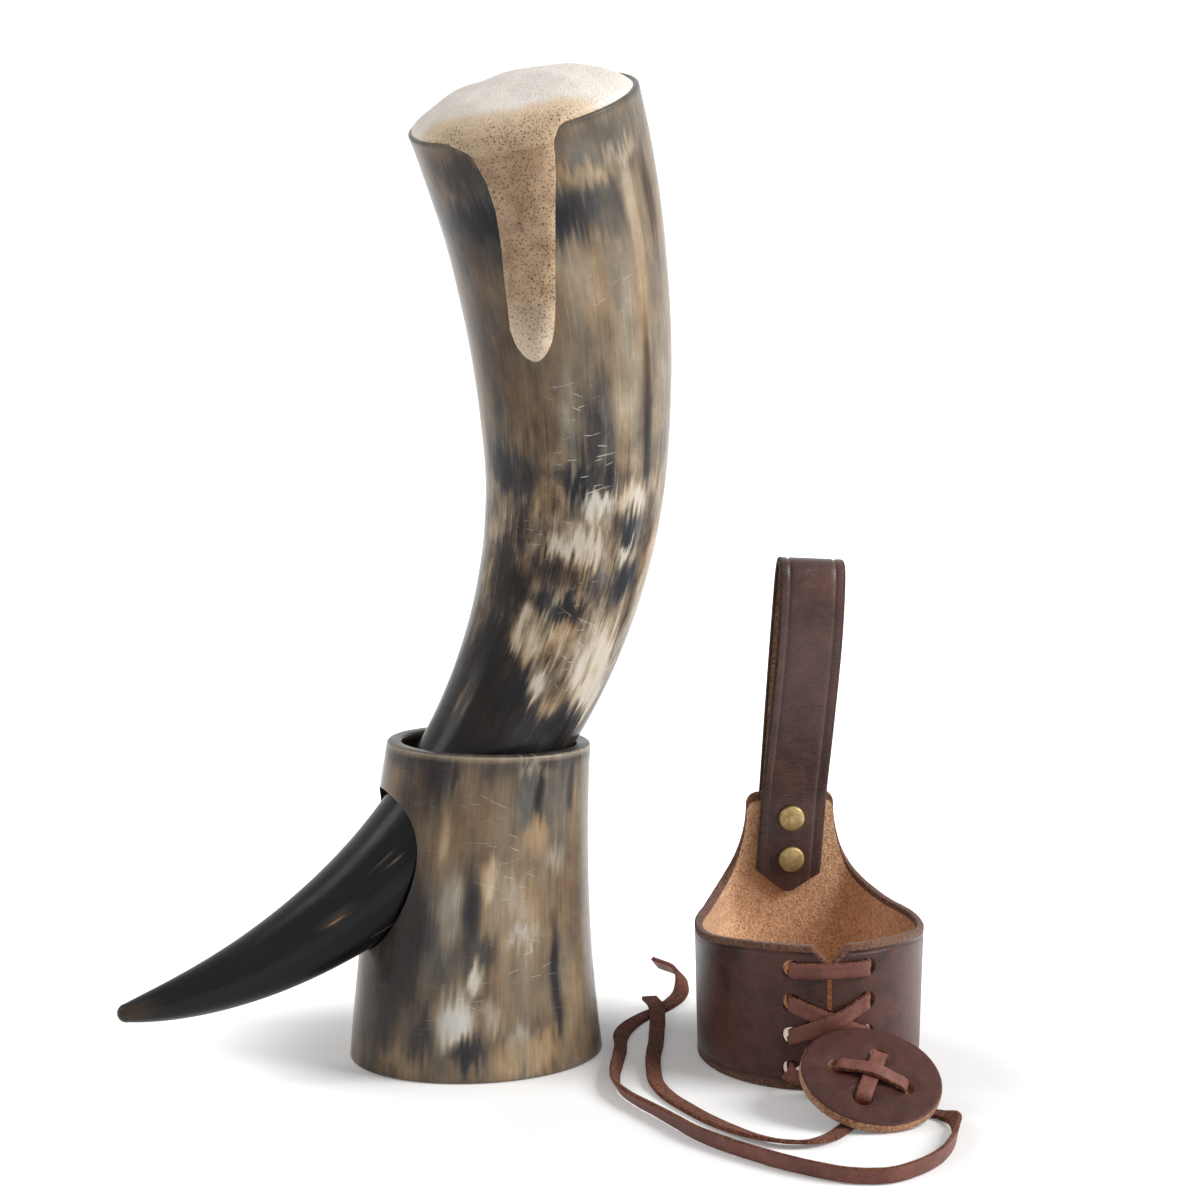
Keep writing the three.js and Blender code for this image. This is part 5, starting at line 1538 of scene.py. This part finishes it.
def horn_paint(name, gloss_low, gloss_high):
    """Polished horn: blotches and fibres along the growth, from charcoal through brown to cream."""
    paint = Paint(name)
    grain = paint.attribute("grain")
    marks = paint.add("SeparateXYZ", {0: paint.attribute("marks")})
    warmth_mark = marks.node.outputs[1]
    scratch_mark = marks.node.outputs[2]
    busy = paint.attribute("busy", output="Fac")
    blotch = paint.long_noise(grain, 0.6, 100.0, 3.0, 0.55, 0.3)
    cloud = paint.long_noise(grain, 0.35, 230.0, 3.0, 0.55, 0.2)
    streak = paint.long_noise(grain, 0.05, 520.0, 4.0, 0.68)
    fibre = paint.long_noise(grain, 0.03, 1600.0, 3.0, 0.6)
    hair = paint.long_noise(grain, 0.016, 2300.0, 2.0, 0.5)
    pale_hair = paint.scaled(hair, 0.56, 0.68)
    dark_hair = paint.scaled(hair, 0.44, 0.32)
    swing = paint.total(
        (blotch, 0.55, 0.5), (cloud, 0.6, 0.5), (streak, 0.34, 0.5), (fibre, 0.12, 0.5),
        (pale_hair, 0.1, 0.0), (dark_hair, -0.06, 0.0),
    )
    swing = paint.product(swing, busy)
    dark_hold = paint.scaled(marks, 0.02, 0.28, 0.2, 1.0)
    tone = paint.math("MULTIPLY_ADD", swing, dark_hold, clamp=True)
    paint.put(tone.node.inputs[2], marks)
    crisp = paint.scaled(tone, 0.08, 0.84, 0.04, 0.8)
    tone = paint.add("Mix", {0: paint.scaled(busy, 0.4, 1.2, 0.0, 0.7), 2: tone, 3: crisp})
    warm_noise = paint.long_noise(grain, 0.12, 140.0, 3.0, 0.6)
    warmth = paint.total((warmth_mark, 1.0, 0.0), (warm_noise, 1.6, 0.5))
    warmth.node.use_clamp = True
    colour = paint.mix(warmth, paint.ramp(tone, COOL_HORN), paint.ramp(tone, WARM_HORN))
    flat = paint.add("UVMap", {}, uv_map="wrap")
    long_lines = scratch_lines(paint, flat, 85.0, 0.0048, 0.00026, 0.5, 0.1)
    short_lines = scratch_lines(paint, flat, 220.0, 0.0019, 0.00022, 0.55, 1.7)
    patchy = paint.scaled(paint.noise(grain, 110.0, 2.0), 0.36, 0.56)
    lines = paint.product(paint.math("MAXIMUM", long_lines, short_lines), patchy, scratch_mark)
    colour = paint.mix(paint.product(lines, SCRATCH_SHARE), colour, SCRATCH_PALE)
    rough = paint.total((streak, 0.12, 0.5), (fibre, 0.08, 0.5), (lines, 0.3, 0.0))
    rough = paint.math("ADD", paint.scaled(blotch, 0.3, 0.7, gloss_low, gloss_high), rough, clamp=True)
    height = paint.total((streak, 1.0, 0.0), (fibre, 0.5, 0.0), (lines, -0.6, 0.0))
    normal = paint.relief((blotch, 0.0012, 0.1), (height, 0.00012, 0.3))
    return paint.surface(Base_Color=colour, Roughness=rough, Normal=normal, Specular_IOR_Level=HORN_GLOSS)


def raw_horn_paint():
    """Sawn horn inside the stand's hole: pale, dull and finely ridged."""
    paint = Paint("sawn_horn")
    place = paint.place()
    ridge = paint.long_noise(place, 0.25, 500.0, 4.0, 0.6)
    colour = paint.ramp(ridge, ((0.3, (0.10, 0.075, 0.05)), (0.7, (0.33, 0.25, 0.17))))
    rough = paint.scaled(ridge, 0.2, 0.8, 0.5, 0.65)
    normal = paint.relief((ridge, 0.0003, 0.4))
    return paint.surface(Base_Color=colour, Roughness=rough, Normal=normal, Specular_IOR_Level=0.3)


def leather_paint(name, dark, light, gloss_low, gloss_high, level=0.3, sheen=0.0):
    """Finished leather: fine pebbled grain, pull-up colour and a soft waxed shine."""
    paint = Paint(name)
    place = paint.place()
    pull = paint.noise(place, 26.0, 4.0, 0.6, 0.4)
    mottle = paint.noise(place, 170.0, 4.0, 0.62)
    pore = paint.cells(place, 1500.0, feature="DISTANCE_TO_EDGE")
    crease = paint.long_noise(place, 2.6, 330.0, 5.0, 0.65, 0.8)
    tone = paint.total((pull, 0.9, 0.0), (mottle, 0.55, 0.5), (crease, 0.25, 0.5))
    colour = paint.mix(paint.scaled(tone, 0.2, 0.75), dark, light)
    valley = paint.scaled(pore, 0.0, 0.16, 0.35, 0.0)
    colour = paint.mix(valley, colour, tuple(0.45 * channel for channel in dark))
    rough = paint.total((mottle, 0.16, 0.5), (crease, 0.12, 0.5))
    rough = paint.math("ADD", paint.scaled(pull, 0.3, 0.7, gloss_low, gloss_high), rough, clamp=True)
    normal = paint.relief((crease, 0.0006, 0.22), (paint.scaled(pore, 0.0, 0.3), 0.00012, 0.3))
    return paint.surface(
        Base_Color=colour, Roughness=rough, Normal=normal, Specular_IOR_Level=level,
        Sheen_Weight=sheen, Sheen_Roughness=LEATHER_SHEEN_ROUGHNESS,
    )


def suede_paint(name, dark, light, sheen=0.25):
    """The flesh side: a coarse nap of short fibres, darker where it lies flat."""
    paint = Paint(name)
    place = paint.place()
    nap = paint.noise(place, 1250.0, 3.0, 0.6, 0.3)
    clump = paint.noise(place, 420.0, 4.0, 0.6)
    patch = paint.noise(place, 40.0, 3.0, 0.55)
    tone = paint.total((nap, 1.5, 0.5), (clump, 0.45, 0.5), (patch, 0.3, 0.5))
    colour = paint.mix(paint.scaled(tone, -0.32, 0.34), dark, light)
    rough = paint.scaled(nap, 0.2, 0.8, 0.85, 0.98)
    normal = paint.relief((clump, 0.0010, 0.4), (nap, 0.0010, 0.7))
    return paint.surface(
        Base_Color=colour, Roughness=rough, Normal=normal, Specular_IOR_Level=SUEDE_GLOSS,
        Sheen_Weight=sheen, Sheen_Roughness=SUEDE_SHEEN_ROUGHNESS,
    )


def brass_paint():
    """Antique brass: mottled by noise from dark patina to brighter metal."""
    paint = Paint("antique_brass")
    place = paint.place()
    stain = paint.noise(place, 420.0, 5.0, 0.65)
    speck = paint.noise(place, 1800.0, 3.0, 0.6)
    wear_and_highlight = paint.total((stain, 1.0, 0.0), (speck, 0.4, 0.5))
    stops = ((0.3, (0.24, 0.17, 0.075)), (0.5, (0.36, 0.265, 0.12)), (0.75, (0.50, 0.385, 0.19)))
    colour = paint.ramp(wear_and_highlight, stops)
    rough = paint.scaled(wear_and_highlight, 0.3, 0.75, 0.58, 0.44)
    normal = paint.relief((wear_and_highlight, 0.0003, 0.25))
    return paint.surface(Base_Color=colour, Roughness=rough, Normal=normal, Metallic=1.0)


def bubble_dots(paint, place, scale, inner, outer, share):
    """Round dots in some of the cells."""
    chance = paint.add("SeparateColor", {0: paint.cells(place, scale, output="Color")})
    dot = paint.scaled(paint.cells(place, scale), inner, outer, 1.0, 0.0)
    return paint.product(dot, paint.math("LESS_THAN", chance, share))


def foam_paint():
    """Beer foam: pale and creamy on the mound, tan and full of small bubbles where it runs."""
    paint = Paint("beer_foam")
    place = paint.place()
    wet = paint.attribute("wet", output="Fac")
    fall = paint.attribute("fall", output="Fac")
    cloud = paint.noise(place, 90.0, 4.0, 0.6)
    fine = paint.noise(place, 900.0, 3.0, 0.6)
    cloudy = paint.scaled(cloud, 0.3, 0.65)
    pale = paint.mix(cloudy, *FOAM_PALE)
    tan = paint.mix(cloudy, *FOAM_TAN)
    colour = paint.mix(paint.scaled(wet, 0.15, 0.5), pale, FOAM_GOLD)
    colour = paint.mix(paint.scaled(wet, 0.5, 1.0), colour, tan)
    colour = paint.mix(paint.scaled(fall, 0.62, 0.98), colour, FOAM_DRIP_END)
    coarse = paint.scaled(paint.cells(place, 900.0, randomness=0.85), 0.2, 0.42, 1.0, 0.0)
    close = paint.scaled(paint.cells(place, 1650.0), 0.2, 0.45, 0.55, 0.0)
    net = paint.math("MAXIMUM", coarse, close)
    dots = bubble_dots(paint, place, 420.0, 0.13, 0.24, 0.22)
    blisters = bubble_dots(paint, place, 210.0, 0.12, 0.2, 0.2)
    thick = paint.scaled(paint.noise(place, 160.0, 2.0), 0.25, 0.55, 0.35, 0.85)
    specks = paint.product(net, thick)
    bubbles = paint.math("MAXIMUM", paint.math("MAXIMUM", dots, blisters), specks)
    where_wet = paint.scaled(wet, 0.3, 0.85, 0.03, 0.9)
    shown = paint.product(bubbles, where_wet, paint.scaled(fall, 0.7, 1.0, 1.0, 0.45))
    colour = paint.mix(shown, colour, FOAM_BUBBLE)
    rough = paint.scaled(fine, 0.3, 0.7, 0.45, 0.65)
    swell = paint.noise(place, 150.0, 2.0, 0.5)
    height = paint.total((fine, 0.5, 0.0), (bubbles, -1.0, 0.0))
    normal = paint.relief((swell, 0.0022, 0.3), (height, 0.0006, 0.5))
    return paint.surface(
        Base_Color=colour, Roughness=rough, Normal=normal, Specular_IOR_Level=0.3,
        Subsurface_Weight=0.15, Subsurface_Radius=(0.004, 0.0025, 0.0015),
    )


# Stage: a pale floor that keeps the shadow near the pieces and glows white beyond them, a painted light
# that fades their shadows there; a white surround and soft studio light

FLOOR_HALF = 3.0
FLOOR_SINK = 0.0001
FLOOR_FADE = (0.0, 0.075)
FLOOR_GLOW = (0.17, 0.9)
FLOOR_ROUNDS = ((STAND, 0.045), (HOLSTER + (-0.036, -0.044, 0.0), 0.080))
FILL_LEVEL = 0.28


def seen_directly(nodes):
    """1 for what the camera, mirrors and glass look at, and 0 for light that bounces."""
    ray = nodes.add("LightPath", {}).node.outputs
    either = nodes.math("MAXIMUM", ray["Is Camera Ray"], ray["Is Glossy Ray"])
    return nodes.math("MAXIMUM", either, ray["Is Transmission Ray"])


def floor_distance(nodes):
    """How far a place on the floor lies outside the rounds that the stand and the holster stand in."""
    place = nodes.place()
    reaches = []
    for centre, radius in FLOOR_ROUNDS:
        away = nodes.add("VectorMath", {0: place, 1: centre}, output="Value", operation="DISTANCE")
        reaches.append(nodes.math("SUBTRACT", away, radius))
    return nodes.math("MINIMUM", *reaches)


def make_floor():
    paint = Paint("floor")
    # Painted light: the floor glows for the camera and in reflections, faintly within the rounds so that
    # the pieces' shadows show, and nearly white beyond them
    level = paint.scaled(floor_distance(paint), *FLOOR_FADE, *FLOOR_GLOW)
    glow = paint.product(seen_directly(paint), level)
    material = paint.surface(
        Base_Color=(0.9, 0.9, 0.9), Roughness=0.9, Specular_IOR_Level=0.0,
        Emission_Color=(1.0, 1.0, 1.0), Emission_Strength=glow,
    )
    corners = FLOOR_HALF * np.array(((-1, -1, 0), (1, -1, 0), (1, 1, 0), (-1, 1, 0)))
    floor = new_piece("floor", corners, [[0, 1, 2, 3]], [material])
    floor.location.z = -FLOOR_SINK


def make_world():
    world = bpy.data.worlds.new("surround")
    bpy.context.scene.world = world
    nodes = Nodes(world)
    background = nodes.tree.nodes["Background"].inputs
    inputs = {"Value": seen_directly(nodes), "To Min": FILL_LEVEL, "To Max": 1.0}
    nodes.put(background["Color"], (1.0, 1.0, 1.0))
    nodes.put(background["Strength"], nodes.add("MapRange", inputs))


def add_light(name, place, target, size, power):
    data = bpy.data.lights.new(name, "AREA")
    data.shape = "RECTANGLE"
    data.size, data.size_y = size
    data.energy = power
    light = bpy.data.objects.new(name, data)
    light.location = place
    light.rotation_euler = (Vector(target) - Vector(place)).to_track_quat("-Z", "Y").to_euler()
    bpy.context.scene.collection.objects.link(light)


place_camera()

THONG = [
    leather_paint("thong_smooth", (0.125, 0.043, 0.032), (0.305, 0.116, 0.088), 0.42, 0.55),
    suede_paint("thong_rough", (0.045, 0.014, 0.008), (0.30, 0.108, 0.060), sheen=0.06),
]
make_tail("long_tail", "long_thong_tail", LONG_TAIL, THONG)
make_tail("short_tail", "short_thong_tail", SHORT_TAIL, THONG)

OUTSIDE = leather_paint(
    "holster_leather", (0.034, 0.0125, 0.0100), (0.138, 0.053, 0.042), 0.3, 0.44, level=0.25, sheen=0.2,
)
STRAP_FACE = leather_paint(
    "strap_leather", (0.044, 0.0185, 0.0150), (0.140, 0.062, 0.049), 0.2, 0.32, level=0.36,
)
SUEDE = suede_paint("holster_suede", (0.53, 0.26, 0.125), (0.95, 0.60, 0.36))
CUT_EDGE = suede_paint("leather_edge", (0.075, 0.028, 0.016), (0.27, 0.125, 0.070))
STRAP_SUEDE = suede_paint("strap_suede", (0.15, 0.068, 0.034), (0.40, 0.22, 0.125))
STRAP_EDGE = suede_paint("strap_edge", (0.030, 0.013, 0.010), (0.105, 0.047, 0.033))
make_band(OUTSIDE, SUEDE, CUT_EDGE)
make_strap(STRAP_FACE, STRAP_SUEDE, STRAP_EDGE)
BRASS = brass_paint()
for prefix, rivet_height in (("lower", LOWER_RIVET), ("upper", UPPER_RIVET)):
    make_rivet("brass_" + prefix + "_rivet", rivet_height, -1, BRASS)
    make_rivet("brass_" + prefix + "_rivet_cap", rivet_height, 1, BRASS)
make_lacing(THONG)

DISC_FACE = leather_paint(
    "disc_leather", (0.040, 0.0135, 0.0105), (0.112, 0.041, 0.032), 0.34, 0.48, level=0.2,
)
DISC_EDGE = suede_paint("disc_edge", (0.22, 0.082, 0.034), (0.66, 0.35, 0.165))
make_button(DISC_FACE, DISC_EDGE)
OVER = SEAT_GAP + THONG_THICK
make_button_thong("cross_over", "button_thong_over", BACK_LEFT, FRONT_RIGHT, OVER, LONG_TAIL, THONG)
make_button_thong("cross_under", "button_thong_under", BACK_RIGHT, FRONT_LEFT, 0.0, SHORT_TAIL, THONG)

make_horn(horn_paint("cup_horn", 0.19, 0.3))
make_stand(horn_paint("stand_horn", 0.2, 0.32), raw_horn_paint())
make_foam(foam_paint())

make_floor()
make_world()
add_light("key", (1.5, -1.0, 1.35), (0.03, 0.0, 0.12), (1.1, 1.1), 46.0)
add_light("rim", (-1.5, 0.6, 1.2), (0.0, 0.03, 0.15), (0.7, 1.4), 11.0)

view = bpy.context.scene.view_settings
view.view_transform = "Standard"
